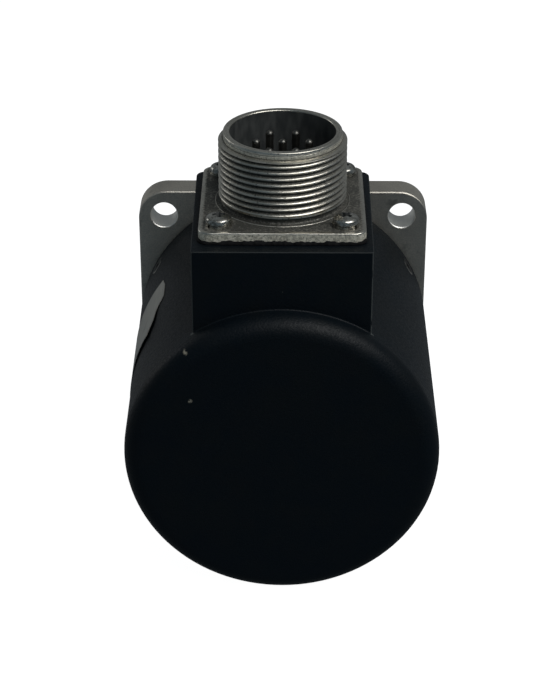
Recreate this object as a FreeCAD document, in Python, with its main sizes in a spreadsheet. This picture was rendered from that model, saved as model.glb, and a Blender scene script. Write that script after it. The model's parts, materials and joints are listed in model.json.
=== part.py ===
import FreeCAD, Part
import math
import os
import Sketcher

# Square-flange rotary encoder with a threaded receptacle on its side.
#
# Frame: the shaft's axis is Y and the mounting face of the flange is y = 0. The shaft
# points to +Y and the housing lies behind the face, at negative y. The receptacle
# points up, +Z. Lengths are in millimetres and angles in degrees.

Vector = FreeCAD.Vector
Rotation = FreeCAD.Rotation

DIMENSIONS = {
    # mounting flange
    "flange_side": 63.5, "flange_thickness": 6.35, "flange_corner": 6.35,
    "mount_spacing": 52.32, "mount_hole": 5.8, "flange_edge": 0.2, "edge_break": 0.4,
    "pilot_diameter": 31.75, "pilot_height": 2.54,
    "spigot_diameter": 58.5, "spigot_bore": 46.0, "spigot_length": 12.15,
    "web_thickness": 8.0, "hub_diameter": 30.0, "hub_reach": 28.5,
    "seal_bore": 19.1, "seal_floor": 1.0, "lip_bore": 17.5, "lip_back": 2.3,
    "seal_wall": 0.4, "seal_opening": 11.2, "garter_section": 0.8,
    # seals and small clearances
    "fit_gap": 0.015, "face_gap": 0.02, "free_gap": 0.05, "seal_run_gap": 0.04,
    "ring_section": 1.36, "ring_station": 15.5, "ring_groove_width": 2.2,
    # bearings
    "bearing_bore": 9.525, "bearing_outside": 22.225, "bearing_width": 7.142,
    "ball_diameter": 3.969, "ball_count": 8, "race_gap": 0.03, "inner_shoulder": 13.2,
    "outer_shoulder": 18.7, "shield_seat": 19.7, "shield_seat_depth": 0.55,
    "shield_thickness": 0.3, "cage_inside": 14.3, "cage_outside": 17.5,
    "cage_width": 5.2, "cage_pocket": 4.2,
    "bearing_spacing": 8.558, "spring_height": 1.56, "spring_thickness": 0.3,
    "spring_waves": 3, "spring_inside": 17.6, "spring_outside": 21.6,
    "snap_ring_thickness": 1.05, "snap_groove": 23.7, "snap_groove_width": 1.15,
    "snap_ring_width": 1.6, "snap_lug": 2.5, "snap_lug_inset": 2.0, "snap_lug_hole": 1.25,
    # shaft
    "shaft_diameter": 9.525, "shaft_reach": 24.74, "shaft_chamfer": 0.5,
    "flat_depth": 0.8, "flat_length": 9.5, "collar_diameter": 12.2,
    "relief_start": 3.2, "relief_width": 1.0, "relief_diameter": 8.9,
    "tail_diameter": 8.0, "tail_start": 28.4, "tail_end": 39.6,
    # code disc and what carries it
    "hub_sleeve": 16.0, "hub_front": 28.6, "hub_step": 33.0, "hub_plate": 24.0,
    "disc_front": 35.0, "disc_thickness": 1.5, "disc_diameter": 44.0,
    "hub_spigot": 12.7, "hub_end": 39.0, "washer_thickness": 0.5, "washer_diameter": 19.5,
    "nut_thickness": 2.2, "nut_diameter": 19.0, "nut_slot": 2.4, "nut_slot_depth": 1.6,
    "nut_slot_count": 4, "set_screw_diameter": 3.0, "set_screw_station": 30.8,
    "set_screw_count": 2,
    # light source, sensor and boards
    "track_radius": 20.0, "led_diameter": 5.0, "led_back": 25.0, "led_tip": 34.3,
    "holder_width": 9.8, "holder_foot_width": 17.0, "holder_foot": 3.0,
    "holder_inside": 15.6, "holder_outside": 24.6, "holder_end": 33.6,
    "foot_inside": 23.3, "foot_outside": 27.8, "foot_screw_spread": 6.65,
    "foot_screw_count": 2,
    "sensor_width": 16.0, "sensor_inside": 14.0, "sensor_outside": 26.4,
    "mask_front": 37.2, "mask_thickness": 1.0, "mask_screw_spread": 5.6, "mask_screw_count": 2,
    "slit_width": 1.0, "slit_length": 3.0, "slit_spacing": 2.0,
    "board_diameter": 56.4, "board_thickness": 1.6, "signal_board_front": 42.0,
    "driver_board_front": 53.0, "board_notch_width": 20.0, "board_notch_floor": 17.0,
    "post_circle": 51.6, "post_flats": 5.0, "post_hole": 2.7, "post_count": 4,
    "post_thread": 2.4, "stud_length": 5.0, "thread_clearance": 0.2,
    # cover
    "cover_front_diameter": 64.0, "cover_rear_diameter": 63.3, "cover_length": 60.7,
    "cover_bore": 58.6, "cover_rear_wall": 3.0, "cover_edge": 3.7, "cover_front_edge": 1.6,
    "cover_inside_edge": 2.0,
    "block_front": 23.4, "block_rear": 62.0, "block_front_width": 35.8,
    "block_rear_width": 35.2, "block_top": 44.1, "block_front_corner": 2.0,
    "block_rear_corner": 0.6, "block_edge": 0.25, "block_root": 0.3,
    "cover_screw_station": 10.9, "cover_screw_head": 4.2, "cover_screw_thread": 2.2,
    "cover_screw_sink": 1.15, "cover_screw_length": 6.4, "cover_screw_count": 3,
    # receptacle
    "socket_station": 42.5, "socket_hole": 22.6, "gasket_thickness": 0.3,
    "socket_flange": 32.54, "socket_flange_thickness": 2.1, "socket_corner": 2.4,
    "socket_screw_spacing": 24.61, "socket_screw_hole": 3.05, "socket_height": 16.8,
    "socket_thread": 25.4, "thread_pitch": 1.27, "thread_depth": 0.6, "thread_cut": 0.84,
    "thread_start": 2.9, "thread_end": 14.6, "thread_grooves": 9, "socket_neck": 24.0,
    "socket_rim": 23.44, "rim_start": 15.3, "socket_bore": 20.9, "insert_face": 6.0,
    "insert_step": 2.0, "insert_back_diameter": 19.8, "barrel_diameter": 22.0,
    "barrel_depth": 7.0, "insert_depth": 8.0, "key_width": 1.9, "key_height": 0.9,
    "key_length": 8.0,
    "pin_circle": 10.4, "pin_count": 6, "pin_diameter": 1.588, "pin_tip": 14.9,
    "pin_point": 0.45, "pin_shoulder": 4.0, "pin_body": 2.4, "cup_top": 8.4,
    "cup_diameter": 2.6, "cup_bore": 1.8, "cup_end": 14.4, "cup_depth": 4.0,
    "pin_gap": 0.03,
    # receptacle screws and washers
    "pan_head": 5.3, "pan_height": 2.0, "pan_dome": 0.9, "screw_thread": 2.84,
    "screw_reach": 9.6, "socket_screw_count": 4, "washer_outside": 5.3, "washer_inside": 3.1,
    "lock_washer_thickness": 0.64, "lock_washer_slot": 0.5, "cross_width": 0.75,
    "cross_span": 3.1, "cross_depth": 1.1,
    # small screws inside
    "small_head": 3.6, "small_head_height": 1.2, "mask_head": 3.0, "mask_head_height": 0.6,
    "small_cross_span": 2.2, "small_cross_width": 0.5, "small_cross_share": 0.55,
    # parts on the boards
    "chip_height": 1.8, "chip_width": 6.1, "chip_length": 10.1, "signal_chip_side": 14.4,
    "signal_chip_above": 5.4, "signal_chip_below": 16.2, "driver_chip_side": 9.0,
    "driver_chip_above": 10.8, "driver_chip_below": 3.6, "header_width": 18.0, "header_bottom": 8.0,
    "header_top": 13.0, "header_depth": 5.4, "header_pitch": 2.2, "link_width": 14.0,
    "link_height": 4.0, "link_drop": 8.0, "cap_diameter": 5.0, "cap_length": 5.4,
    "cap_spacing": 7.0, "cap_below": 16.2,
    # wiring
    "wire_diameter": 1.1, "wire_start": 32.6, "wire_knee": 24.6, "wire_end_run": 17.4,
    "sleeve_outside": 3.4, "sleeve_inside": 2.75, "sleeve_bottom": 28.6, "sleeve_top": 34.8,
    "lead_diameter": 0.6, "lead_spread": 2.54, "lead_radius": 1.2, "lead_run": 27.4,
    "lead_set_back": 1.7,
    # nameplate
    "plate_front": 24.9, "plate_rear": 44.0, "plate_thickness": 0.15,
    "plate_top_angle": 51.2, "plate_sweep": 98.3,
}

doc = FreeCAD.newDocument("RotaryEncoder")


class Dim:
    """A length that knows its value and the sheet expression that gives it."""

    def __init__(self, value, text):
        self.value = value
        self.text = text

    def _with(self, sign, other):
        other = as_dim(other)
        values = {
            "+": lambda: self.value + other.value,
            "-": lambda: self.value - other.value,
            "*": lambda: self.value * other.value,
            "/": lambda: self.value / other.value,
        }
        return Dim(values[sign](), f"({self.text} {sign} {other.text})")

    def __add__(self, other):
        return self._with("+", other)

    def __sub__(self, other):
        return self._with("-", other)

    def __mul__(self, other):
        return self._with("*", other)

    def __truediv__(self, other):
        return self._with("/", other)

    def __neg__(self):
        return Dim(-self.value, f"(0 - {self.text})")


def as_dim(size):
    """The size itself, or a plain number as a size with a constant expression."""
    return size if isinstance(size, Dim) else Dim(float(size), f"({float(size)!r})")


class Sheet:
    """The driving dimensions: sheet.flange_side is the cell with that alias."""

    def __init__(self):
        cells = doc.addObject("Spreadsheet::Sheet", "Sizes")
        for row, (name, value) in enumerate(DIMENSIONS.items(), 1):
            cells.set(f"A{row}", name)
            cells.set(f"B{row}", str(value))
            cells.setAlias(f"B{row}", name)
        doc.recompute()

    def __getattr__(self, name):
        return Dim(float(DIMENSIONS[name]), f"Sizes.{name}")


sheet = Sheet()
ZERO = as_dim(0)
TINY = 1e-4

# Stations along the shaft and heights that several parts share.
flange_back = -sheet.flange_thickness
spigot_end = flange_back - sheet.spigot_length
cover_back = flange_back - sheet.cover_length
front_bearing = -sheet.lip_back - sheet.bearing_width / 2
rear_bearing = front_bearing - sheet.bearing_width - sheet.bearing_spacing
spring_front = rear_bearing - sheet.bearing_width / 2
snap_front = spring_front - sheet.spring_height
disc_back = -sheet.disc_front - sheet.disc_thickness
washer_back = disc_back - sheet.washer_thickness
signal_back = -sheet.signal_board_front - sheet.board_thickness
driver_back = -sheet.driver_board_front - sheet.board_thickness
post_radius = sheet.post_circle / 2
socket_base = sheet.block_top + sheet.gasket_thickness
socket_screw_radius = sheet.socket_screw_spacing / math.sqrt(2)

# Turns that make a body's own +Z point rearwards or forwards, or its +X meet a square's corner.
TO_REAR = Rotation(Vector(1, 0, 0), 90)
TO_FRONT = Rotation(Vector(1, 0, 0), -90)
TO_CORNER = Rotation(Vector(0, 0, 1), 45)


# --- building blocks ---------------------------------------------------------------


def new_body(label):
    """An empty body whose label is the name of the piece."""
    body = doc.addObject("PartDesign::Body", label)
    body.Label = label
    return body


def bind(thing, **sizes):
    """Set properties of a feature and tie them to the sheet."""
    for name, size in sizes.items():
        setattr(thing, name, as_dim(size).value)
        thing.setExpression(name, as_dim(size).text)


def bind_count(pattern, count):
    """Set how many times a pattern repeats and tie it to the sheet."""
    pattern.Occurrences = int(as_dim(count).value)
    pattern.setExpression("Occurrences", as_dim(count).text)


def put(thing, prop, x=0, y=0, z=0, turn=Rotation()):
    """Place an object or a sketch, with its position tied to the sheet."""
    spots = {"x": as_dim(x), "y": as_dim(y), "z": as_dim(z)}
    base = Vector(*(spot.value for spot in spots.values()))
    setattr(thing, prop, FreeCAD.Placement(base, turn))
    for axis, spot in spots.items():
        thing.setExpression(f"{prop}.Base.{axis}", spot.text)


def origin_part(body, role):
    """One of the body's own origin planes or axes."""
    return next(part for part in body.Origin.OriginFeatures if part.Role == role)


def sketch(body, plane, across=0, offset=0):
    """An empty sketch on an origin plane, shifted across it and along its normal."""
    made = body.newObject("Sketcher::SketchObject", "Outline")
    made.AttachmentSupport = [(origin_part(body, plane), "")]
    made.MapMode = "FlatFace"
    put(made, "AttachmentOffset", x=across, z=offset)
    return made


def fix(drawn, geometry, point, across, up):
    """Hold a point of the sketch at its distances from the sketch's origin."""
    for kind, size in (("DistanceX", across), ("DistanceY", up)):
        size = as_dim(size)
        index = drawn.addConstraint(Sketcher.Constraint(kind, -1, 1, geometry, point, size.value))
        drawn.setExpression(f"Constraints[{index}]", size.text)


def outline(drawn, points):
    """A closed outline of straight sides through (across, up) pairs of sizes."""
    first = drawn.GeometryCount
    spots = [Vector(as_dim(across).value, as_dim(up).value, 0) for across, up in points]
    for index, spot in enumerate(spots):
        drawn.addGeometry(Part.LineSegment(spot, spots[(index + 1) % len(spots)]), False)
    for index, (across, up) in enumerate(points):
        before = first + (index - 1) % len(points)
        drawn.addConstraint(Sketcher.Constraint("Coincident", before, 2, first + index, 1))
        fix(drawn, first + index, 1, across, up)
    return drawn


def rectangle(drawn, low_across, high_across, low_up, high_up):
    """A rectangle between two pairs of sizes."""
    corners = [
        (low_across, low_up), (high_across, low_up),
        (high_across, high_up), (low_across, high_up),
    ]
    return outline(drawn, corners)


def square(drawn, side):
    """A square centred on the sketch's origin."""
    return rectangle(drawn, -side / 2, side / 2, -side / 2, side / 2)


def circle(drawn, across, up, diameter):
    """A circle with its centre held from the sketch's origin."""
    radius = as_dim(diameter) / 2
    centre = Vector(as_dim(across).value, as_dim(up).value, 0)
    index = drawn.addGeometry(Part.Circle(centre, Vector(0, 0, 1), radius.value), False)
    fix(drawn, index, 3, across, up)
    size = drawn.addConstraint(Sketcher.Constraint("Radius", index, radius.value))
    drawn.setExpression(f"Constraints[{size}]", radius.text)
    return drawn


def four_circles(drawn, spacing, diameter):
    """Four circles on a square pattern."""
    for side in (-1, 1):
        for end in (-1, 1):
            circle(drawn, spacing * side / 2, spacing * end / 2, diameter)
    return drawn


def must_cut(body, volume):
    """A cut that points away from its solid removes nothing, so that stops the build."""
    if body.Shape.Volume > volume - TINY:
        raise RuntimeError(f"a cut in {body.Label} removes nothing")


def pad(body, drawn, length, reverse=False):
    """Extrude a sketch along its plane's normal, or against it."""
    made = body.newObject("PartDesign::Pad", "Pad")
    made.Profile = drawn
    made.Reversed = reverse
    bind(made, Length=length)
    doc.recompute()
    return made


def pocket(body, drawn, length, reverse=False):
    """Cut a sketch into the body against its plane's normal, or along it."""
    volume = body.Shape.Volume
    made = body.newObject("PartDesign::Pocket", "Pocket")
    made.Profile = drawn
    made.Reversed = reverse
    bind(made, Length=length)
    doc.recompute()
    must_cut(body, volume)
    return made


def turned(body, drawn, cut=False, sweep=360):
    """Revolve a sketch about its own vertical axis, as a solid or as a cut."""
    volume = body.Shape.Volume if cut else 0
    kind = "Groove" if cut else "Revolution"
    made = body.newObject(f"PartDesign::{kind}", kind)
    made.Profile = drawn
    made.ReferenceAxis = (drawn, ["V_Axis"])
    bind(made, Angle=sweep)
    doc.recompute()
    if cut:
        must_cut(body, volume)
    return made


def around(body, features, axis, count):
    """Repeat features evenly round one of the body's axes."""
    made = body.newObject("PartDesign::PolarPattern", "Ring")
    made.Originals = features
    made.Axis = (origin_part(body, axis), [""])
    made.Angle = 360
    bind_count(made, count)
    body.Tip = made
    doc.recompute()
    return made


def soften(body, kind, size, wanted):
    """Fillet or chamfer every edge of the body that the wanted test picks out."""
    base = body.Tip
    names = [f"Edge{n}" for n, edge in enumerate(base.Shape.Edges, 1) if wanted(edge)]
    made = body.newObject(f"PartDesign::{kind}", kind)
    made.Base = (base, names)
    bind(made, **{"Radius" if kind == "Fillet" else "Size": size})
    doc.recompute()
    return made


def runs_along(edge, axis):
    """Whether an edge is straight and lies along X, Y or Z."""
    box = edge.BoundBox
    spans = {"X": box.XLength, "Y": box.YLength, "Z": box.ZLength}
    return spans.pop(axis) > TINY and max(spans.values()) < TINY


def lies_at(edge, axis, place):
    """Whether an edge lies in the plane where the axis has that value."""
    box = edge.BoundBox
    low, high = {"X": (box.XMin, box.XMax), "Y": (box.YMin, box.YMax), "Z": (box.ZMin, box.ZMax)}[axis]
    return abs(low - place.value) < TINY and abs(high - place.value) < TINY


def is_round(edge, diameter):
    """Whether an edge is a full circle of that diameter."""
    return edge.Closed and hasattr(edge.Curve, "Radius") and \
        abs(edge.Curve.Radius - diameter.value / 2) < TINY


# --- flange and shaft seal ---------------------------------------------------------


def mounting_flange():
    """Square plate with pilot, spigot ring and bearing hub, turned as one piece."""
    body = new_body("mounting_flange")
    pad(body, square(sketch(body, "XZ_Plane"), sheet.flange_side), sheet.flange_thickness)
    soften(body, "Fillet", sheet.flange_corner, lambda edge: runs_along(edge, "Y"))
    soften(body, "Chamfer", sheet.flange_edge, lambda edge: lies_at(edge, "Y", ZERO))
    soften(body, "Chamfer", sheet.flange_edge, lambda edge: lies_at(edge, "Y", flange_back))
    holes = four_circles(sketch(body, "XZ_Plane"), sheet.mount_spacing, sheet.mount_hole)
    pocket(body, holes, sheet.flange_thickness, reverse=True)
    soften(body, "Chamfer", sheet.flange_edge, lambda edge: is_round(edge, sheet.mount_hole))

    pilot = sheet.pilot_diameter / 2
    spigot = sheet.spigot_diameter / 2
    inside = sheet.spigot_bore / 2
    hub = sheet.hub_diameter / 2
    hub_end = -sheet.hub_reach
    bearing = sheet.bearing_outside / 2 + sheet.fit_gap
    snap_back = snap_front - sheet.snap_groove_width
    ring_front = sheet.ring_groove_width / 2 - sheet.ring_station
    ring_back = ring_front - sheet.ring_groove_width
    ring_floor = sheet.cover_bore / 2 - sheet.ring_section - sheet.face_gap * 2
    profile = [
        (sheet.seal_bore / 2, sheet.pilot_height),
        (pilot - sheet.edge_break, sheet.pilot_height),
        (pilot, sheet.pilot_height - sheet.edge_break),
        (pilot, flange_back),
        (spigot, flange_back),
        (spigot, ring_front), (ring_floor, ring_front),
        (ring_floor, ring_back), (spigot, ring_back),
        (spigot, spigot_end + sheet.edge_break),
        (spigot - sheet.edge_break, spigot_end),
        (inside, spigot_end),
        (inside, -sheet.web_thickness),
        (hub, -sheet.web_thickness),
        (hub, hub_end),
        (bearing, hub_end),
        (bearing, snap_back), (sheet.snap_groove / 2, snap_back),
        (sheet.snap_groove / 2, snap_front), (bearing, snap_front),
        (bearing, -sheet.lip_back),
        (sheet.lip_bore / 2, -sheet.lip_back),
        (sheet.lip_bore / 2, -sheet.seal_floor),
        (sheet.seal_bore / 2, -sheet.seal_floor),
    ]
    bore = circle(sketch(body, "XZ_Plane"), 0, 0, sheet.pilot_diameter)
    pocket(body, bore, sheet.flange_thickness, reverse=True)
    turned(body, outline(sketch(body, "XY_Plane"), profile))

    post_holes = sketch(body, "XZ_Plane", offset=-spigot_end)
    four_circles(post_holes, sheet.post_circle / math.sqrt(2), sheet.post_thread + sheet.thread_clearance)
    pocket(body, post_holes, sheet.stud_length)
    foot_holes = sketch(body, "XZ_Plane", offset=-spigot_end)
    foot_middle = (sheet.foot_inside + sheet.foot_outside) / 2
    for side in (-1, 1):
        spread = sheet.foot_screw_spread * side
        circle(foot_holes, spread, -foot_middle, sheet.post_thread + sheet.thread_clearance)
    pocket(body, foot_holes, sheet.stud_length)

    screw_hole = sketch(body, "YZ_Plane", across=-sheet.cover_screw_station)
    rectangle(screw_hole, 0, sheet.cover_screw_thread / 2 + sheet.free_gap, -spigot, -inside)
    around(body, [turned(body, screw_hole, cut=True)], "Y_Axis", sheet.cover_screw_count)


def shaft_seal():
    """Pressed steel case, rubber lip and garter spring of the shaft seal."""
    front = sheet.pilot_height - sheet.edge_break
    back = -sheet.seal_floor + sheet.face_gap
    wall = sheet.seal_wall
    outside = sheet.seal_bore / 2 - sheet.fit_gap
    opening = sheet.seal_opening / 2
    case = new_body("seal_case")
    case_outline = [
        (opening, front - wall), (opening, front), (outside, front), (outside, back),
        (outside - wall, back), (outside - wall, front - wall),
    ]
    turned(case, outline(sketch(case, "XY_Plane"), case_outline))

    run = sheet.shaft_diameter / 2 + sheet.seal_run_gap
    lip = new_body("seal_lip")
    lip_outline = [
        (run + wall, front - wall * 2), (opening, front - wall),
        (outside - wall - sheet.fit_gap, front - wall - sheet.face_gap),
        (outside - wall - sheet.fit_gap, front - wall * 2),
        (opening + wall, front - wall * 3),
        (opening + wall, back + wall * 2), (opening, back + wall), (run + wall, back),
        (run, back + wall),
    ]
    turned(lip, outline(sketch(lip, "XY_Plane"), lip_outline))

    spring = new_body("seal_spring")
    section = sheet.garter_section
    hoop = circle(sketch(spring, "XY_Plane"), opening + section + sheet.free_gap, back + section, section)
    turned(spring, hoop)


# --- bearings ----------------------------------------------------------------------


def bearing(prefix, middle):
    """Deep-groove ball bearing centred on a station of the shaft: races, balls, cage, shields."""
    half = sheet.bearing_width / 2
    pitch = (sheet.bearing_bore + sheet.bearing_outside) / 4
    groove = sheet.ball_diameter + sheet.race_gap * 2
    seat = half - sheet.shield_seat_depth

    outer = new_body(f"{prefix}_outer_race")
    outer_outline = [
        (sheet.shield_seat / 2, middle + half), (sheet.bearing_outside / 2, middle + half),
        (sheet.bearing_outside / 2, middle - half), (sheet.shield_seat / 2, middle - half),
        (sheet.shield_seat / 2, middle - seat), (sheet.outer_shoulder / 2, middle - seat),
        (sheet.outer_shoulder / 2, middle + seat), (sheet.shield_seat / 2, middle + seat),
    ]
    turned(outer, outline(sketch(outer, "XY_Plane"), outer_outline))
    turned(outer, circle(sketch(outer, "XY_Plane"), pitch, middle, groove), cut=True)

    inner = new_body(f"{prefix}_inner_race")
    bore = sheet.bearing_bore / 2 + sheet.fit_gap
    rectangle_outline = rectangle(
        sketch(inner, "XY_Plane"), bore, sheet.inner_shoulder / 2, middle - half, middle + half
    )
    turned(inner, rectangle_outline)
    turned(inner, circle(sketch(inner, "XY_Plane"), pitch, middle, groove), cut=True)

    balls = new_body(f"{prefix}_balls")
    ball = balls.newObject("PartDesign::AdditiveSphere", "Ball")
    bind(ball, Radius=sheet.ball_diameter / 2)
    put(ball, "Placement", x=pitch, y=middle)
    doc.recompute()
    around(balls, [ball], "Y_Axis", sheet.ball_count)

    cage = new_body(f"{prefix}_cage")
    width = sheet.cage_width / 2
    band = rectangle(
        sketch(cage, "XY_Plane"), sheet.cage_inside / 2, sheet.cage_outside / 2,
        middle - width, middle + width
    )
    turned(cage, band)
    window = circle(sketch(cage, "YZ_Plane"), middle, 0, sheet.cage_pocket)
    around(cage, [pocket(cage, window, sheet.cage_outside, reverse=True)], "Y_Axis", sheet.ball_count)

    shields = new_body(f"{prefix}_shields")
    start = seat + sheet.free_gap
    for side in (-1, 1):
        near = middle + start * side
        far = middle + (start + sheet.shield_thickness) * side
        disc = rectangle(
            sketch(shields, "XY_Plane"), sheet.inner_shoulder / 2 + sheet.shield_thickness,
            sheet.shield_seat / 2 - sheet.fit_gap, near, far
        )
        turned(shields, disc)


def preload_spring():
    """Wavy washer between the rear bearing's outer race and its retaining ring."""
    inside = sheet.spring_inside.value / 2
    outside = sheet.spring_outside.value / 2
    thickness = sheet.spring_thickness.value
    rise = (sheet.spring_height.value - thickness) / 2 - sheet.face_gap.value
    middle = spring_front.value - sheet.spring_height.value / 2 - thickness / 2
    samples = 36

    def wave(radius):
        spots = []
        for step in range(samples):
            angle = 2 * math.pi * step / samples
            height = middle + rise * math.cos(sheet.spring_waves.value * angle)
            spots.append(Vector(radius * math.sin(angle), height, radius * math.cos(angle)))
        curve = Part.BSplineCurve()
        curve.interpolate(spots, PeriodicFlag=True)
        return curve.toShape()

    washer = doc.addObject("Part::Feature", "preload_spring")
    washer.Shape = Part.makeRuledSurface(wave(inside), wave(outside)).extrude(Vector(0, thickness, 0))
    washer.Placement = FreeCAD.Placement()


def bearing_retaining_ring():
    """Internal snap ring with a gap and two plier lugs."""
    body = new_body("bearing_retaining_ring")
    front = snap_front - sheet.face_gap
    outside = sheet.snap_groove - sheet.fit_gap * 2
    width = sheet.snap_ring_width
    blank = sketch(body, "XZ_Plane", offset=-front)
    circle(blank, 0, 0, outside)
    circle(blank, 0, 0, outside - width * 2)
    pad(body, blank, sheet.snap_ring_thickness)
    gap = sketch(body, "XZ_Plane", offset=-front)
    rectangle(gap, -width, width, -outside / 2, -sheet.tail_diameter / 2)
    pocket(body, gap, sheet.snap_ring_thickness, reverse=True)
    lug = sheet.snap_lug
    lug_across = width + lug / 2
    lug_height = outside / 2 - sheet.snap_lug_inset
    lugs = sketch(body, "XZ_Plane", offset=-front)
    for side in (-1, 1):
        circle(lugs, lug_across * side, -lug_height, lug)
    pad(body, lugs, sheet.snap_ring_thickness)
    holes = sketch(body, "XZ_Plane", offset=-front)
    for side in (-1, 1):
        circle(holes, lug_across * side, -lug_height, sheet.snap_lug_hole)
    pocket(body, holes, sheet.snap_ring_thickness, reverse=True)


# --- rotor -------------------------------------------------------------------------


def shaft():
    """Shaft with a chamfered, flatted front end, a relief groove in front of the seal's track,
    a collar between the bearings and a stepped tail."""
    body = new_body("shaft")
    radius = sheet.shaft_diameter / 2
    relief = sheet.relief_diameter / 2
    relief_end = sheet.relief_start + sheet.relief_width
    collar = sheet.collar_diameter / 2
    collar_front = front_bearing - sheet.bearing_width / 2
    tail = sheet.tail_diameter / 2
    profile = [
        (0, sheet.shaft_reach), (radius - sheet.shaft_chamfer, sheet.shaft_reach),
        (radius, sheet.shaft_reach - sheet.shaft_chamfer),
        (radius, relief_end), (relief, relief_end),
        (relief, sheet.relief_start), (radius, sheet.relief_start),
        (radius, collar_front), (collar, collar_front),
        (collar, collar_front - sheet.bearing_spacing),
        (radius, collar_front - sheet.bearing_spacing),
        (radius, -sheet.tail_start), (tail, -sheet.tail_start),
        (tail, -sheet.tail_end), (0, -sheet.tail_end),
    ]
    turned(body, outline(sketch(body, "XY_Plane"), profile))
    flat = sketch(body, "XZ_Plane", offset=-sheet.shaft_reach)
    rectangle(flat, -radius, radius, radius - sheet.flat_depth, radius)
    pocket(body, flat, sheet.flat_length, reverse=True)


def disc_hub():
    """Hub on the shaft's tail, with a plate for the disc and a threaded spigot."""
    body = new_body("disc_hub")
    bore = sheet.tail_diameter / 2 + sheet.fit_gap
    sleeve = sheet.hub_sleeve / 2
    profile = [
        (bore, -sheet.hub_front), (sleeve, -sheet.hub_front), (sleeve, -sheet.hub_step),
        (sheet.hub_plate / 2, -sheet.hub_step), (sheet.hub_plate / 2, -sheet.disc_front),
        (sheet.hub_spigot / 2, -sheet.disc_front), (sheet.hub_spigot / 2, -sheet.hub_end),
        (bore, -sheet.hub_end),
    ]
    turned(body, outline(sketch(body, "XY_Plane"), profile))
    hole = sketch(body, "YZ_Plane", across=-sheet.set_screw_station)
    rectangle(hole, 0, sheet.set_screw_diameter / 2 + sheet.fit_gap, bore / 2, sleeve)
    around(body, [turned(body, hole, cut=True)], "Y_Axis", sheet.set_screw_count)


def hub_set_screws():
    """Two socket set screws that clamp the hub to the tail."""
    body = new_body("hub_set_screws")
    start = sheet.tail_diameter / 2 + sheet.free_gap
    end = sheet.hub_sleeve / 2 - sheet.free_gap
    radius = sheet.set_screw_diameter / 2
    rod = rectangle(sketch(body, "YZ_Plane", across=-sheet.set_screw_station), 0, radius, start, end)
    socket_floor = (start + end) / 2
    socket = sketch(body, "YZ_Plane", across=-sheet.set_screw_station)
    rectangle(socket, 0, radius / 2, socket_floor, end)
    features = [turned(body, rod), turned(body, socket, cut=True)]
    around(body, features, "Y_Axis", sheet.set_screw_count)


def code_disc():
    """Glass disc with the code track."""
    body = new_body("code_disc")
    drawn = rectangle(
        sketch(body, "XY_Plane"), sheet.hub_spigot / 2 + sheet.free_gap, sheet.disc_diameter / 2,
        disc_back, -sheet.disc_front - sheet.face_gap
    )
    turned(body, drawn)


def disc_clamp():
    """Washer and slotted round nut that clamp the disc to its hub."""
    bore = sheet.hub_spigot / 2 + sheet.free_gap
    washer = new_body("disc_washer")
    ring = rectangle(
        sketch(washer, "XY_Plane"), bore, sheet.washer_diameter / 2,
        washer_back, disc_back - sheet.face_gap
    )
    turned(washer, ring)

    nut = new_body("disc_clamp_nut")
    nut_back = washer_back - sheet.nut_thickness
    blank = rectangle(
        sketch(nut, "XY_Plane"), bore, sheet.nut_diameter / 2, nut_back, washer_back - sheet.face_gap
    )
    turned(nut, blank)
    slot = sketch(nut, "XZ_Plane", offset=-nut_back)
    rectangle(
        slot, -sheet.nut_slot / 2, sheet.nut_slot / 2,
        sheet.nut_diameter / 2 - sheet.nut_slot_depth, sheet.nut_diameter
    )
    around(nut, [pocket(nut, slot, sheet.nut_thickness)], "Y_Axis", sheet.nut_slot_count)


# --- light source and sensor -------------------------------------------------------


def led_holder():
    """Bracket on the spigot ring that points the light source at the code track."""
    body = new_body("led_holder")
    foot_back = spigot_end - sheet.holder_foot
    foot = sketch(body, "XZ_Plane", offset=-spigot_end)
    rectangle(
        foot, -sheet.holder_foot_width / 2, sheet.holder_foot_width / 2,
        -sheet.foot_outside, -sheet.foot_inside
    )
    pad(body, foot, sheet.holder_foot)
    arm = sketch(body, "XZ_Plane", offset=-spigot_end)
    rectangle(
        arm, -sheet.holder_width / 2, sheet.holder_width / 2,
        -sheet.holder_outside, -sheet.holder_inside
    )
    pad(body, arm, spigot_end + sheet.holder_end)
    bore = sketch(body, "XZ_Plane", offset=sheet.holder_end)
    circle(bore, 0, -sheet.track_radius, sheet.led_diameter + sheet.free_gap * 4)
    pocket(body, bore, sheet.holder_end + foot_back)
    slot = sketch(body, "XZ_Plane", offset=sheet.led_back)
    slot_half = sheet.lead_spread / 2 + sheet.lead_diameter
    rectangle(slot, -slot_half, slot_half, -sheet.holder_outside, -sheet.track_radius)
    pocket(body, slot, sheet.led_back + foot_back)
    screw_holes = sketch(body, "XZ_Plane", offset=-foot_back)
    for side in (-1, 1):
        circle(
            screw_holes, sheet.foot_screw_spread * side, -(sheet.foot_inside + sheet.foot_outside) / 2,
            sheet.post_thread + sheet.thread_clearance
        )
    pocket(body, screw_holes, sheet.holder_foot)


def led_emitter():
    """Domed light source with a rim at its back."""
    body = new_body("led_emitter")
    radius = sheet.led_diameter / 2
    dome_start = radius - sheet.led_tip
    tube = sketch(body, "XY_Plane")
    rectangle(tube, 0, radius, dome_start, -sheet.led_back)
    turned(body, tube)
    dome = body.newObject("PartDesign::AdditiveSphere", "Dome")
    bind(dome, Radius=radius)
    put(dome, "Placement", y=dome_start)
    put(body, "Placement", z=-sheet.track_radius)
    doc.recompute()


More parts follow.
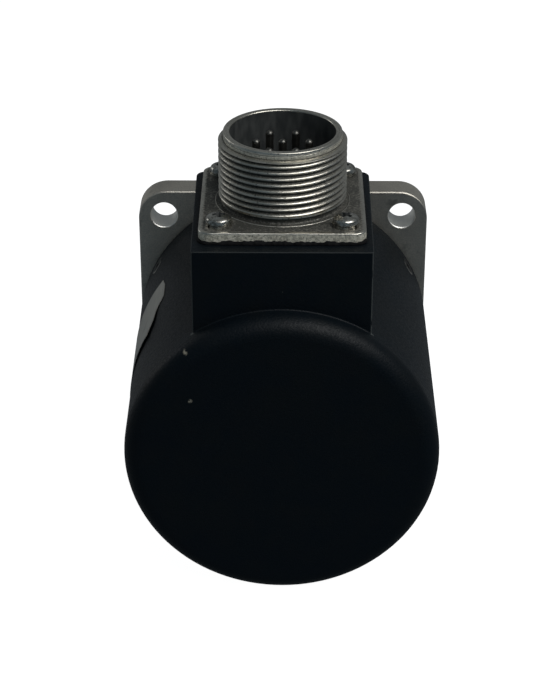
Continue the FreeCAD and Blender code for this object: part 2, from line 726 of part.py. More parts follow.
def led_leads():
    """Two wires from the light source, out under the disc's edge and back to the board."""
    radius = sheet.lead_radius.value
    start_y = -sheet.led_back.value + sheet.face_gap.value
    turn_y = spigot_end.value - sheet.holder_foot.value - sheet.lead_set_back.value
    low = -sheet.lead_run.value
    high = -sheet.track_radius.value
    end_y = -sheet.signal_board_front.value + sheet.face_gap.value
    shapes = []
    for side in (-1, 1):
        across = side * sheet.lead_spread.value / 2
        corners = [
            Vector(across, start_y, high), Vector(across, turn_y, high),
            Vector(across, turn_y, low), Vector(across, end_y, low),
        ]
        shapes.append(round_wire(corners, radius, sheet.lead_diameter.value / 2))
    leads = doc.addObject("Part::Feature", "led_leads")
    leads.Shape = Part.makeCompound(shapes)
    leads.Placement = FreeCAD.Placement()


def photo_sensor():
    """Moulded sensor block on the signal board, behind the disc."""
    body = new_body("photo_sensor")
    front = sheet.mask_front + sheet.mask_thickness
    block = sketch(body, "XZ_Plane", offset=front + sheet.face_gap)
    rectangle(
        block, -sheet.sensor_width / 2, sheet.sensor_width / 2,
        -sheet.sensor_outside, -sheet.sensor_inside
    )
    pad(body, block, sheet.signal_board_front - front - sheet.face_gap * 2)
    mask_screw_holes(body, front, sheet.signal_board_front - front)


def mask_plate():
    """Thin slotted plate over the sensor."""
    body = new_body("mask_plate")
    plate = sketch(body, "XZ_Plane", offset=sheet.mask_front)
    rectangle(
        plate, -sheet.sensor_width / 2, sheet.sensor_width / 2,
        -sheet.sensor_outside, -sheet.sensor_inside
    )
    pad(body, plate, sheet.mask_thickness)
    mask_screw_holes(body, sheet.mask_front, sheet.mask_thickness)
    slits = sketch(body, "XZ_Plane", offset=sheet.mask_front)
    half_width = sheet.slit_width / 2
    half_length = sheet.slit_length / 2
    for place in (-1, 0, 1):
        middle = sheet.slit_spacing * place
        rectangle(
            slits, middle - half_width, middle + half_width,
            -sheet.track_radius - half_length, -sheet.track_radius + half_length
        )
    pocket(body, slits, sheet.mask_thickness, reverse=True)


def mask_screw_holes(body, front, depth):
    """Two through holes for the mask's screws, cut rearwards from a station."""
    holes = sketch(body, "XZ_Plane", offset=front)
    for side in (-1, 1):
        circle(
            holes, sheet.mask_screw_spread * side, sheet.mask_head / 2 - sheet.sensor_outside,
            sheet.post_thread + sheet.thread_clearance
        )
    pocket(body, holes, depth, reverse=True)


# --- boards ------------------------------------------------------------------------


def board(label, front, with_sensor):
    """Round circuit board with four post holes, and what the sensor board needs besides: a notch
    that lets the wires past, and the holes for the mask's screws."""
    body = new_body(label)
    blank = circle(sketch(body, "XZ_Plane", offset=front), 0, 0, sheet.board_diameter)
    pad(body, blank, sheet.board_thickness)
    holes = sketch(body, "XZ_Plane", offset=front)
    four_circles(holes, sheet.post_circle / math.sqrt(2), sheet.post_hole)
    pocket(body, holes, sheet.board_thickness, reverse=True)
    if with_sensor:
        notch = sketch(body, "XZ_Plane", offset=front)
        half = sheet.board_notch_width / 2
        rectangle(notch, -half, half, sheet.board_notch_floor, sheet.board_diameter)
        pocket(body, notch, sheet.board_thickness, reverse=True)
        mask_screw_holes(body, front, sheet.board_thickness)


def post_body(label, station):
    """A body with its own Z along the encoder's -Y, turned so that +X meets a post."""
    body = new_body(label)
    put(body, "Placement", y=-station, turn=TO_REAR * TO_CORNER)
    return body


def board_standoffs():
    """Four hexagonal posts with a stud in the spigot ring and a tapped far end."""
    body = post_body("board_standoffs", -spigot_end + sheet.face_gap)
    length = sheet.signal_board_front + spigot_end - sheet.face_gap * 2
    hexagon = sketch(body, "XY_Plane")
    corner = sheet.post_flats / math.sqrt(3)
    points = []
    for step in range(6):
        angle = math.radians(60 * step + 30)
        points.append((post_radius + corner * math.cos(angle), corner * math.sin(angle)))
    outline(hexagon, points)
    post = pad(body, hexagon, length)
    stud = circle(sketch(body, "XY_Plane"), post_radius, 0, sheet.post_thread)
    stud_pad = pad(body, stud, sheet.stud_length - sheet.face_gap * 2, reverse=True)
    tapped = sketch(body, "XY_Plane", offset=length)
    circle(tapped, post_radius, 0, sheet.post_thread + sheet.thread_clearance)
    hole = pocket(body, tapped, sheet.stud_length + sheet.board_thickness)
    around(body, [post, stud_pad, hole], "Z_Axis", sheet.post_count)


def board_spacers():
    """Four tubes between the two boards."""
    body = post_body("board_spacers", -signal_back + sheet.face_gap)
    drawn = sketch(body, "XY_Plane")
    circle(drawn, post_radius, 0, sheet.post_flats)
    circle(drawn, post_radius, 0, sheet.post_hole)
    tube = pad(body, drawn, sheet.driver_board_front + signal_back - sheet.face_gap * 2)
    around(body, [tube], "Z_Axis", sheet.post_count)


def cross_recess(body, across, top, span, width, depth):
    """Plus-shaped driver recess, cut down from a screw's top."""
    plus = sketch(body, "XY_Plane", offset=top)
    arm = span / 2
    web = width / 2
    outline(plus, [
        (across + web, arm), (across - web, arm), (across - web, web), (across - arm, web),
        (across - arm, -web), (across - web, -web), (across - web, -arm), (across + web, -arm),
        (across + web, -web), (across + arm, -web), (across + arm, web), (across + web, web),
    ])
    return pocket(body, plus, depth)


def small_screws(body, radius, count, head, height, reach):
    """Cheese-head screws standing on a circle in the body's XY plane, heads up."""
    profile = sketch(body, "XZ_Plane", across=radius)
    outline(profile, [
        (0, height), (head / 2, height), (head / 2, 0), (sheet.post_thread / 2, 0),
        (sheet.post_thread / 2, -reach), (0, -reach),
    ])
    solid = turned(body, profile)
    span = sheet.small_cross_span
    recess = cross_recess(body, radius, height, span, sheet.small_cross_width, height * sheet.small_cross_share)
    around(body, [solid, recess], "Z_Axis", count)


def board_screws():
    """Four long screws through both boards and their spacers into the posts."""
    body = post_body("board_screws", -driver_back + sheet.face_gap)
    reach = sheet.signal_board_front + driver_back
    small_screws(
        body, post_radius, sheet.post_count, sheet.small_head, sheet.small_head_height,
        sheet.stud_length - reach
    )


def led_holder_screws():
    """Two screws through the light source bracket's foot."""
    body = new_body("led_holder_screws")
    station = spigot_end - sheet.holder_foot - sheet.face_gap
    put(body, "Placement", y=station, z=-(sheet.foot_inside + sheet.foot_outside) / 2, turn=TO_REAR)
    small_screws(
        body, sheet.foot_screw_spread, sheet.foot_screw_count, sheet.small_head, sheet.small_head_height,
        sheet.holder_foot + sheet.stud_length - sheet.edge_break
    )


def mask_screws():
    """Two thin-headed screws through the mask, sensor and signal board."""
    body = new_body("mask_screws")
    put(
        body, "Placement", y=sheet.face_gap - sheet.mask_front,
        z=sheet.mask_head / 2 - sheet.sensor_outside, turn=TO_FRONT
    )
    reach = sheet.board_thickness + sheet.signal_board_front - sheet.mask_front
    small_screws(
        body, sheet.mask_screw_spread, sheet.mask_screw_count, sheet.mask_head,
        sheet.mask_head_height, reach
    )


def board_parts(label, station, length, places):
    """Rectangular parts standing on the rear face of a board, (x, z, width, height) each."""
    body = new_body(label)
    drawn = sketch(body, "XZ_Plane", offset=-station + sheet.face_gap)
    for across, up, width, height in places:
        rectangle(drawn, across - width / 2, across + width / 2, up - height / 2, up + height / 2)
    pad(body, drawn, length)


def components():
    """Chips and capacitors on the boards, and the link between the boards."""
    height = sheet.chip_height
    width = sheet.chip_width
    length = sheet.chip_length
    board_parts("signal_chips", signal_back, height, [
        (-sheet.signal_chip_side, sheet.signal_chip_above, width, length),
        (sheet.signal_chip_side, sheet.signal_chip_above, width, length),
        (ZERO, -sheet.signal_chip_below, length, width),
    ])
    board_parts("driver_chips", driver_back, height, [
        (-sheet.driver_chip_side, -sheet.driver_chip_below, width, length),
        (sheet.driver_chip_side, -sheet.driver_chip_below, width, length),
        (ZERO, sheet.driver_chip_above, length, width),
    ])

    cans = new_body("capacitors")
    drawn = sketch(cans, "XZ_Plane", offset=-driver_back + sheet.face_gap)
    for place in (-1, 0, 1):
        circle(drawn, sheet.cap_spacing * place, -sheet.cap_below, sheet.cap_diameter)
    pad(cans, drawn, sheet.cap_length)
    soften(cans, "Fillet", sheet.edge_break, lambda edge: is_round(edge, sheet.cap_diameter))

    link = new_body("board_link")
    strip = sketch(link, "XZ_Plane", offset=-signal_back + sheet.face_gap)
    half = sheet.link_width / 2
    middle = -sheet.link_drop
    rectangle(strip, -half, half, middle - sheet.link_height / 2, middle + sheet.link_height / 2)
    pad(link, strip, sheet.driver_board_front + signal_back - sheet.face_gap * 2)


# --- cover -------------------------------------------------------------------------


def cover_radius(station):
    """Outside radius of the drafted cover at a station of the shaft."""
    taper = (sheet.cover_front_diameter - sheet.cover_rear_diameter) / 2
    return sheet.cover_front_diameter / 2 - taper * (flange_back - station) / sheet.cover_length


def cover():
    """Drafted cast cup with rounded front and rear edges and the receptacle's block on top."""
    body = new_body("cover")
    front = flange_back - sheet.face_gap
    can = sketch(body, "XY_Plane")
    outline(can, [
        (0, cover_back), (cover_radius(cover_back), cover_back), (cover_radius(front), front), (0, front),
    ])
    turned(body, can)
    soften(body, "Fillet", sheet.cover_edge, lambda edge: lies_at(edge, "Y", cover_back))
    soften(body, "Fillet", sheet.cover_front_edge, lambda edge: lies_at(edge, "Y", front))

    inside = sheet.cover_bore / 4
    block = sketch(body, "XY_Plane", offset=inside)
    outline(block, [
        (-sheet.block_front_width / 2, -sheet.block_front),
        (sheet.block_front_width / 2, -sheet.block_front),
        (sheet.block_rear_width / 2, -sheet.block_rear),
        (-sheet.block_rear_width / 2, -sheet.block_rear),
    ])
    pad(body, block, sheet.block_top - inside)

    def corner_at(station):
        return lambda edge: runs_along(edge, "Z") and lies_at(edge, "Y", -station)

    soften(body, "Fillet", sheet.block_front_corner, corner_at(sheet.block_front))
    soften(body, "Fillet", sheet.block_rear_corner, corner_at(sheet.block_rear))
    soften(body, "Fillet", sheet.block_edge, lambda edge: lies_at(edge, "Z", sheet.block_top))
    outer = sheet.cover_rear_diameter.value / 2
    low = math.sqrt(outer ** 2 - (sheet.block_front_width.value / 2) ** 2) - sheet.block_root.value
    high = sheet.cover_front_diameter.value / 2 + sheet.block_root.value

    def at_block_root(edge):
        box = edge.BoundBox
        along = box.YMin > -sheet.block_rear.value - TINY and box.YMax < TINY - sheet.block_front.value
        return along and box.ZMin > low and box.ZMax < high

    soften(body, "Fillet", sheet.block_root, at_block_root)

    cavity = sketch(body, "XY_Plane")
    rectangle(cavity, 0, sheet.cover_bore / 2, cover_back + sheet.cover_rear_wall, front)
    turned(body, cavity, cut=True)
    inside_back = cover_back + sheet.cover_rear_wall
    soften(body, "Fillet", sheet.cover_inside_edge, lambda edge: lies_at(edge, "Y", inside_back))

    way_down = sheet.block_top - sheet.board_notch_floor
    hole = sketch(body, "XY_Plane", offset=sheet.block_top)
    circle(hole, 0, -sheet.socket_station, sheet.socket_hole)
    pocket(body, hole, way_down)
    tapped = sketch(body, "XY_Plane", offset=sheet.block_top)
    half = sheet.socket_screw_spacing / 2
    for side in (-1, 1):
        for end in (-1, 1):
            circle(
                tapped, half * side, half * end - sheet.socket_station,
                sheet.screw_thread + sheet.free_gap
            )
    pocket(body, tapped, sheet.screw_reach - sheet.socket_flange_thickness)

    sink = sketch(body, "YZ_Plane", across=-sheet.cover_screw_station)
    outer_face = -cover_radius(-sheet.cover_screw_station)
    head = sheet.cover_screw_head / 2 + sheet.fit_gap
    thread = sheet.cover_screw_thread / 2 + sheet.free_gap
    beyond = outer_face - sheet.cover_screw_sink
    outline(sink, [
        (0, beyond), (head, beyond), (head, outer_face),
        (thread, outer_face + sheet.cover_screw_sink), (thread, -sheet.spigot_bore / 2),
        (0, -sheet.spigot_bore / 2),
    ])
    around(body, [turned(body, sink, cut=True)], "Y_Axis", sheet.cover_screw_count)


def cover_o_ring():
    """Seal between the cover and the spigot, squeezed to its groove."""
    body = new_body("cover_o_ring")
    middle = sheet.cover_bore / 2 - sheet.ring_section / 2 - sheet.face_gap
    turned(body, circle(sketch(body, "XY_Plane"), middle, -sheet.ring_station, sheet.ring_section))


def cover_screws():
    """Three countersunk screws, radial, through the cover into the spigot."""
    body = new_body("cover_screws")
    face = -cover_radius(-sheet.cover_screw_station)
    thread = sheet.cover_screw_thread / 2
    head = sheet.cover_screw_head / 2 - sheet.fit_gap
    profile = sketch(body, "YZ_Plane", across=-sheet.cover_screw_station)
    outline(profile, [
        (0, face), (head, face), (thread, face + sheet.cover_screw_sink),
        (thread, face + sheet.cover_screw_length), (0, face + sheet.cover_screw_length),
    ])
    socket = sketch(body, "YZ_Plane", across=-sheet.cover_screw_station)
    rectangle(socket, 0, thread / 2, face, face + sheet.cover_screw_sink)
    around(body, [turned(body, profile), turned(body, socket, cut=True)], "Y_Axis", sheet.cover_screw_count)


def nameplate():
    """Adhesive plate wrapped round the cover's side."""
    body = new_body("nameplate")
    front = -sheet.plate_front
    rear = -sheet.plate_rear
    inner_front = cover_radius(front) + sheet.face_gap
    inner_rear = cover_radius(rear) + sheet.face_gap
    band = sketch(body, "XY_Plane")
    outline(band, [
        (inner_rear, rear), (inner_rear + sheet.plate_thickness, rear),
        (inner_front + sheet.plate_thickness, front), (inner_front, front),
    ])
    turned(body, band, sweep=sheet.plate_sweep)
    three_quarters = as_dim(270)
    turn = three_quarters - sheet.plate_top_angle - sheet.plate_sweep
    put(body, "Placement", turn=Rotation(Vector(0, 1, 0), turn.value))
    body.setExpression("Placement.Rotation.Angle", turn.text)
    doc.recompute()


# --- receptacle --------------------------------------------------------------------


def socket_body(label, turn=Rotation(), height=socket_base):
    """A body on the receptacle's axis, with its own z = 0 at a height."""
    body = new_body(label)
    put(body, "Placement", y=-sheet.socket_station, z=height, turn=turn)
    return body


def connector_shell():
    """Square-flange shell with a threaded barrel, a rim and a polarising key."""
    body = socket_body("connector_shell")
    plate = square(sketch(body, "XY_Plane"), sheet.socket_flange)
    pad(body, plate, sheet.socket_flange_thickness)
    soften(body, "Fillet", sheet.socket_corner, lambda edge: runs_along(edge, "Z"))
    holes = four_circles(sketch(body, "XY_Plane"), sheet.socket_screw_spacing, sheet.socket_screw_hole)
    pocket(body, holes, sheet.socket_flange_thickness, reverse=True)
    opening = circle(sketch(body, "XY_Plane"), 0, 0, sheet.socket_bore)
    pocket(body, opening, sheet.socket_flange_thickness, reverse=True)

    back = sheet.insert_back_diameter / 2
    bore = sheet.socket_bore / 2
    barrel = sheet.barrel_diameter / 2
    neck = sheet.socket_neck / 2
    crest = sheet.socket_thread / 2
    rim = sheet.socket_rim / 2
    top = sheet.socket_height
    lead = sheet.edge_break
    profile = [
        (back, -sheet.barrel_depth), (barrel, -sheet.barrel_depth), (barrel, 0),
        (neck, 0), (neck, sheet.thread_start), (crest, sheet.thread_start),
        (crest, sheet.thread_end), (rim, sheet.rim_start), (rim, top - lead),
        (rim - lead, top), (bore + lead, top), (bore, top - lead),
        (bore, sheet.insert_step), (back, sheet.insert_step),
    ]
    turned(body, outline(sketch(body, "XZ_Plane"), profile))

    first = sheet.thread_start + sheet.thread_pitch / 2
    vee = sketch(body, "XZ_Plane")
    outline(vee, [
        (crest + TINY, first - sheet.thread_cut / 2), (crest + TINY, first + sheet.thread_cut / 2),
        (crest - sheet.thread_depth, first),
    ])
    groove = turned(body, vee, cut=True)
    thread = body.newObject("PartDesign::LinearPattern", "Thread")
    thread.Originals = [groove]
    thread.Direction = (origin_part(body, "Z_Axis"), [""])
    bind(thread, Length=sheet.thread_pitch * (sheet.thread_grooves - 1))
    bind_count(thread, sheet.thread_grooves)
    body.Tip = thread
    doc.recompute()

    key = sketch(body, "XY_Plane", offset=sheet.insert_step)
    half = sheet.key_width / 2
    rectangle(key, -half, half, -bore - lead, sheet.key_height - bore)
    pad(body, key, sheet.insert_face - sheet.insert_step + sheet.key_length)


def connector_insert():
    """Insulator with seven contact holes and a slot for the shell's key."""
    body = socket_body("connector_insert")
    front = sheet.socket_bore / 2 - sheet.free_gap
    back = sheet.insert_back_diameter / 2 - sheet.free_gap
    step = sheet.insert_step + sheet.face_gap
    profile = outline(sketch(body, "XZ_Plane"), [
        (0, -sheet.insert_depth), (back, -sheet.insert_depth), (back, step), (front, step),
        (front, sheet.insert_face), (0, sheet.insert_face),
    ])
    turned(body, profile)
    slot = sketch(body, "XY_Plane", offset=sheet.insert_face)
    half = sheet.key_width / 2 + sheet.free_gap
    rectangle(slot, -half, half, -front - sheet.key_height, sheet.key_height + sheet.free_gap * 2 - front)
    pocket(body, slot, sheet.insert_face - sheet.insert_step)

    outer = turned(body, contact_hole(body, sheet.pin_circle / 2), cut=True)
    around(body, [outer], "Z_Axis", sheet.pin_count)
    turned(body, contact_hole(body, ZERO), cut=True)


def contact_hole(body, across):
    """Stepped hole for one contact."""
    drawn = sketch(body, "XZ_Plane", across=across)
    wide = sheet.pin_body / 2 + sheet.pin_gap
    narrow = sheet.pin_diameter / 2 + sheet.pin_gap
    shoulder = sheet.pin_shoulder + sheet.pin_gap
    return outline(drawn, [
        (0, -sheet.insert_depth), (wide, -sheet.insert_depth), (wide, shoulder),
        (narrow, shoulder), (narrow, sheet.insert_face), (0, sheet.insert_face),
    ])


def connector_pins():
    """Seven round-tipped contacts with solder cups, one at the centre and six round it."""
    body = socket_body("connector_pins")

    def contact(across):
        radius = sheet.pin_diameter / 2
        point = sheet.pin_point
        cup = sheet.cup_diameter / 2
        cup_bore = sheet.cup_bore / 2
        cup_floor = sheet.cup_depth - sheet.cup_end
        drawn = sketch(body, "XZ_Plane", across=across)
        outline(drawn, [
            (0, sheet.pin_tip), (radius - point, sheet.pin_tip), (radius, sheet.pin_tip - point),
            (radius, sheet.pin_shoulder), (sheet.pin_body / 2, sheet.pin_shoulder),
            (sheet.pin_body / 2, -sheet.cup_top), (cup, -sheet.cup_top), (cup, -sheet.cup_end),
            (cup_bore, -sheet.cup_end), (cup_bore, cup_floor), (0, cup_floor),
        ])
        return turned(body, drawn)

    around(body, [contact(sheet.pin_circle / 2)], "Z_Axis", sheet.pin_count)
    contact(ZERO)


def connector_gasket():
    """Flat gasket under the receptacle's flange."""
    body = socket_body("connector_gasket", height=sheet.block_top)
    pad(body, square(sketch(body, "XY_Plane"), sheet.socket_flange), sheet.gasket_thickness)
    soften(body, "Fillet", sheet.socket_corner, lambda edge: runs_along(edge, "Z"))
    holes = four_circles(sketch(body, "XY_Plane"), sheet.socket_screw_spacing, sheet.socket_screw_hole)
    circle(holes, 0, 0, sheet.socket_hole)
    pocket(body, holes, sheet.gasket_thickness, reverse=True)


def connector_screws():
    """Four cross-recessed pan-head screws that hold the receptacle."""
    seat = sheet.socket_flange_thickness + sheet.lock_washer_thickness
    body = socket_body("connector_screws", turn=TO_CORNER, height=socket_base + seat)
    head = sheet.pan_head / 2
    thread = sheet.screw_thread / 2
    reach = sheet.screw_reach
    profile = sketch(body, "XZ_Plane", across=socket_screw_radius)
    flat = head - sheet.pan_dome
    outline(profile, [
        (0, sheet.pan_height), (flat, sheet.pan_height), (head, sheet.pan_height - sheet.pan_dome),
        (head, 0), (thread, 0), (thread, -reach), (0, -reach),
    ])
    solid = turned(body, profile)
    recess = cross_recess(
        body, socket_screw_radius, sheet.pan_height, sheet.cross_span, sheet.cross_width, sheet.cross_depth
    )
    around(body, [solid, recess], "Z_Axis", sheet.socket_screw_count)


def connector_lock_washers():
    """Four split washers under the screw heads."""
    height = socket_base + sheet.socket_flange_thickness
    body = socket_body("connector_lock_washers", turn=TO_CORNER, height=height)
    ring = sketch(body, "XY_Plane")
    circle(ring, socket_screw_radius, 0, sheet.washer_outside)
    circle(ring, socket_screw_radius, 0, sheet.washer_inside)
    solid = pad(body, ring, sheet.lock_washer_thickness)
    gap = sketch(body, "XY_Plane")
    half = sheet.lock_washer_slot / 2
    rectangle(
        gap, socket_screw_radius, socket_screw_radius + sheet.washer_outside, -half, half
    )
    split = pocket(body, gap, sheet.lock_washer_thickness, reverse=True)
    around(body, [solid, split], "Z_Axis", sheet.socket_screw_count)


# --- wiring ------------------------------------------------------------------------


def round_wire(corners, bend, radius):
    """Round wire along straight runs with an arc of the given bend radius at each corner."""
    edges = []
    start = corners[0]
    for before, corner, after in zip(corners, corners[1:], corners[2:]):
        inward = (before - corner).normalize()
        outward = (after - corner).normalize()
        half_turn = inward.getAngle(outward) / 2
        back = bend / math.tan(half_turn)
        arc_start = corner + inward * back
        arc_end = corner + outward * back
        bisector = (inward + outward).normalize()
        middle = corner + bisector * (bend / math.sin(half_turn) - bend)
        edges.append(Part.LineSegment(start, arc_start).toShape())
        edges.append(Part.Arc(arc_start, middle, arc_end).toShape())
        start = arc_end
    edges.append(Part.LineSegment(start, corners[-1]).toShape())
    path = Part.Wire(edges)
    direction = (corners[1] - corners[0]).normalize()
    section = Part.Wire(Part.makeCircle(radius, corners[0], direction))
    return path.makePipeShell([section], True, False)


def contact_places():
    """(x, y) of the seven contacts, from left to right as the header takes them."""
    radius = sheet.pin_circle.value / 2
    centre = -sheet.socket_station.value
    places = [(0.0, centre)]
    for step in range(int(sheet.pin_count.value)):
        angle = 2 * math.pi * step / sheet.pin_count.value
        places.append((radius * math.cos(angle), centre + radius * math.sin(angle)))
    return sorted(places, key=lambda place: (round(place[0], 3), place[1] * (1 if place[0] < 0 else -1)))


def wire_header():
    """Seven-way header on the driver board for the receptacle's wires."""
    body = new_body("wire_header")
    block = sketch(body, "XZ_Plane", offset=sheet.driver_board_front - sheet.header_depth)
    half = sheet.header_width / 2
    rectangle(block, -half, half, sheet.header_bottom, sheet.header_top)
    pad(body, block, sheet.header_depth - sheet.face_gap)


def wire_harness():
    """Seven wires from the solder cups to the header, each with two gentle bends."""
    header_y = sheet.header_depth.value / 2 - sheet.driver_board_front.value
    places = contact_places()
    middle = (len(places) - 1) / 2
    shapes = []
    for index, (across, along) in enumerate(places):
        landing = (index - middle) * sheet.header_pitch.value
        corners = [
            Vector(across, along, sheet.wire_start.value), Vector(across, along, sheet.wire_knee.value),
            Vector(landing, header_y, sheet.wire_end_run.value),
            Vector(landing, header_y, sheet.header_top.value + sheet.face_gap.value),
        ]
        shapes.append(round_wire(corners, sheet.wire_diameter.value * 2, sheet.wire_diameter.value / 2))
    wires = doc.addObject("Part::Feature", "wire_harness")
    wires.Shape = Part.makeCompound(shapes)
    wires.Placement = FreeCAD.Placement()


def solder_sleeves():
    """Seven sleeves over the solder cups."""
    body = socket_body("solder_sleeves", height=sheet.sleeve_bottom)
    length = sheet.sleeve_top - sheet.sleeve_bottom
    outer = sketch(body, "XY_Plane")
    circle(outer, sheet.pin_circle / 2, 0, sheet.sleeve_outside)
    circle(outer, sheet.pin_circle / 2, 0, sheet.sleeve_inside)
    around(body, [pad(body, outer, length)], "Z_Axis", sheet.pin_count)
    centre = sketch(body, "XY_Plane")
    circle(centre, 0, 0, sheet.sleeve_outside)
    circle(centre, 0, 0, sheet.sleeve_inside)
    pad(body, centre, length)


# --- whole encoder -----------------------------------------------------------------


def build():
    """Every piece, from the flange rearwards and then up to the receptacle."""
    mounting_flange()
    shaft_seal()
    bearing("front_bearing", front_bearing)
    bearing("rear_bearing", rear_bearing)
    preload_spring()
    bearing_retaining_ring()
    shaft()
    disc_hub()
    hub_set_screws()
    code_disc()
    disc_clamp()
    led_holder()
    led_holder_screws()
    led_emitter()
    led_leads()
    photo_sensor()
    mask_plate()
    mask_screws()
    board("signal_board", sheet.signal_board_front, with_sensor=True)
    board("driver_board", sheet.driver_board_front, with_sensor=False)
    board_standoffs()
    board_spacers()
    board_screws()
    components()
    cover()
    cover_o_ring()
    cover_screws()
    nameplate()
    connector_shell()
    connector_insert()
    connector_pins()
    connector_gasket()
    connector_screws()
    connector_lock_washers()
    wire_header()
    wire_harness()
    solder_sleeves()
    doc.recompute()


def pieces():
    """The top-level solids, one for each node."""
    return [made for made in doc.Objects if made.TypeId in ("PartDesign::Body", "Part::Feature")]


def check():
    """Stop if any object failed or any piece is empty or invalid."""
    for made in doc.Objects:
        if "Invalid" in made.State or "Error" in made.State:
            raise RuntimeError(f"{made.Name} of {made.Label} failed: {made.State}")
    for piece in pieces():
        if piece.Shape.isNull() or not piece.Shape.isValid() or not piece.Shape.Solids:
            raise RuntimeError(f"{piece.Label} has no valid solid")


def write():
    """One STEP file for each piece."""
    os.makedirs("parts", exist_ok=True)
    for piece in pieces():
        piece.Shape.exportStep(f"parts/{piece.Label}.step")
        print(f"{piece.Label}: {len(piece.Shape.Solids)} solids, {piece.Shape.Volume:.1f} mm3")


build()
check()
write()
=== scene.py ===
import json
import math

import bmesh
import bpy
from mathutils import Matrix, Vector


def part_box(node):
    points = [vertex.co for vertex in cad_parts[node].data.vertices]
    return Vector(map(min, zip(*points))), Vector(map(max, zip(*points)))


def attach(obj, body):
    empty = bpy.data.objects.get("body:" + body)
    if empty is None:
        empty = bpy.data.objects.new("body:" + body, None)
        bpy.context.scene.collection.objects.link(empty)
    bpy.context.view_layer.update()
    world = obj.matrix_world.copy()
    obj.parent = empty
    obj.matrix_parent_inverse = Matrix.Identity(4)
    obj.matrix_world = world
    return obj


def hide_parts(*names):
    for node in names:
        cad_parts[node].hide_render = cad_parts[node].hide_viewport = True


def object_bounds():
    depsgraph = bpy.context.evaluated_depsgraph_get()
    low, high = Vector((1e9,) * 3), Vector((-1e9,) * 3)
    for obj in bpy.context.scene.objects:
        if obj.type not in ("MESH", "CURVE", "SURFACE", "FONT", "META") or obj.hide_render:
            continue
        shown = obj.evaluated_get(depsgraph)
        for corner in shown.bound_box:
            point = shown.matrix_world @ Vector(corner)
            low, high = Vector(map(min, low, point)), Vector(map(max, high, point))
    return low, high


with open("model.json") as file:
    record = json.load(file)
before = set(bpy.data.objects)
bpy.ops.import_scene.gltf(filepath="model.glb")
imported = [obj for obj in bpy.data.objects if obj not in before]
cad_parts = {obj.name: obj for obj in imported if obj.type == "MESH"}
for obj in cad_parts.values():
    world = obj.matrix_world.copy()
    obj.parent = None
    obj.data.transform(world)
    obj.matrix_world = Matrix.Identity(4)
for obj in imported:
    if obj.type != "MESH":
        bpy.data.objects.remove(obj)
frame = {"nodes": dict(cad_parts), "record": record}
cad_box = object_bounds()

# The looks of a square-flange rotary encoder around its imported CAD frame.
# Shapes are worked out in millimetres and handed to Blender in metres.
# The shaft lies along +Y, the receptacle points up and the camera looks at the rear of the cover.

MM = 0.001
TAU = 2 * math.pi


# --- places and sizes, in millimetres ------------------------------------------------


def box_mm(node):
    """A CAD node's lowest and highest corner, in millimetres."""
    low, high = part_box(node)
    return low / MM, high / MM


SHELL_LOW, SHELL_HIGH = box_mm("connector_shell")
GASKET_LOW, GASKET_HIGH = box_mm("connector_gasket")
COVER_LOW, COVER_HIGH = box_mm("cover")

# The cover, its block, its screws and the flange's holes.
BLOCK_TOP = COVER_HIGH.z
BLOCK_REAR = -62.0
BLOCK_HALF = 17.6
# Half width that the block gains for each millimetre towards the flange.
BLOCK_TAPER = 0.3 / 38.6
HOLE_OFFSET = 26.16
BORED_REACH = 3.02
COVER_SCREW_STATION = -10.9
COVER_SCREW_COUNT = 3
# Inner and outer radius of the painted highlight on the cover screws' head rims, partly meant as worn
# finish.
GLINT_WEAR_INSIDE = 1.55
GLINT_WEAR_OUTSIDE = 1.8
# Places across and up of the nicks in the coating at the cover's rear.
EDGE_NICKS = ((-18.8, 24.3), (-18.0, 14.1))
COVER_FRONT_RADIUS = 32.0
COVER_REAR_RADIUS = 31.65

# The receptacle: its own heights count up from the top of its gasket.
SOCKET_AXIS = (SHELL_LOW + SHELL_HIGH) / 2
SOCKET_BASE = GASKET_HIGH.z
SOCKET_TOP = SHELL_HIGH.z - SOCKET_BASE
SOCKET_BACK = SHELL_LOW.z - SOCKET_BASE
SOCKET_HALF = (SHELL_HIGH.x - SHELL_LOW.x) / 2

# The receptacle's square plate.
PLATE_THICKNESS = 2.1
PLATE_CORNER = 2.4
PLATE_EDGE = 0.24
SCREW_OFFSET = 12.305
SCREW_HOLE = 1.525

# The receptacle's barrel: radii and heights of its thread, neck, rim, bore and key.
CREST = 12.7
THREAD_DEPTH = 0.66
THREAD_PITCH = 1.27
THREAD_START = 3.5
THREAD_END = 14.95
THREAD_FADE_TOP = 0.3
THREAD_FADE_BOTTOM = 0.8
THREAD_STEPS = 14
THREAD_PHASE = 0.45
CREST_SHARE = 0.16
FLANK_SHARE = 0.74
FLANK_CURVE = 0.55
NECK = 12.05
BASE_FILLET = 0.3
BASE_RING = 13.3
RING_HALF = 0.14
RING_RISE = 0.1
RIM = 11.72
RIM_START = 15.3
RIM_EDGE = 0.22
RIM_SCORE = 0.72
BORE = 10.45
BORE_BACK = 9.9
BORE_STEP = 2.0
BORE_ROWS = 6
BARREL_BACK = 11.0
KEY_HEIGHT = 0.9
KEY_WIDTH = 1.9
KEY_TOP = 14.0

# The receptacle's screws.
WASHER_THICKNESS = 0.64
HEAD_BASE = PLATE_THICKNESS + WASHER_THICKNESS
HEAD_RADIUS = 2.5
HEAD_HEIGHT = 1.75
SCREW_THREAD = 1.42
SCREW_REACH = 9.6
SCREW_POINT = 0.3
HEAD_EDGE = 0.1
CROSS_SPAN = 3.0
CROSS_WIDTH = 0.84
CROSS_DEPTH = 1.15
CROSS_CONE = 0.9

# The contacts.
PIN_RADIUS = 0.794
PIN_CIRCLE = 5.2
PIN_COUNT = 6


# --- materials -----------------------------------------------------------------------


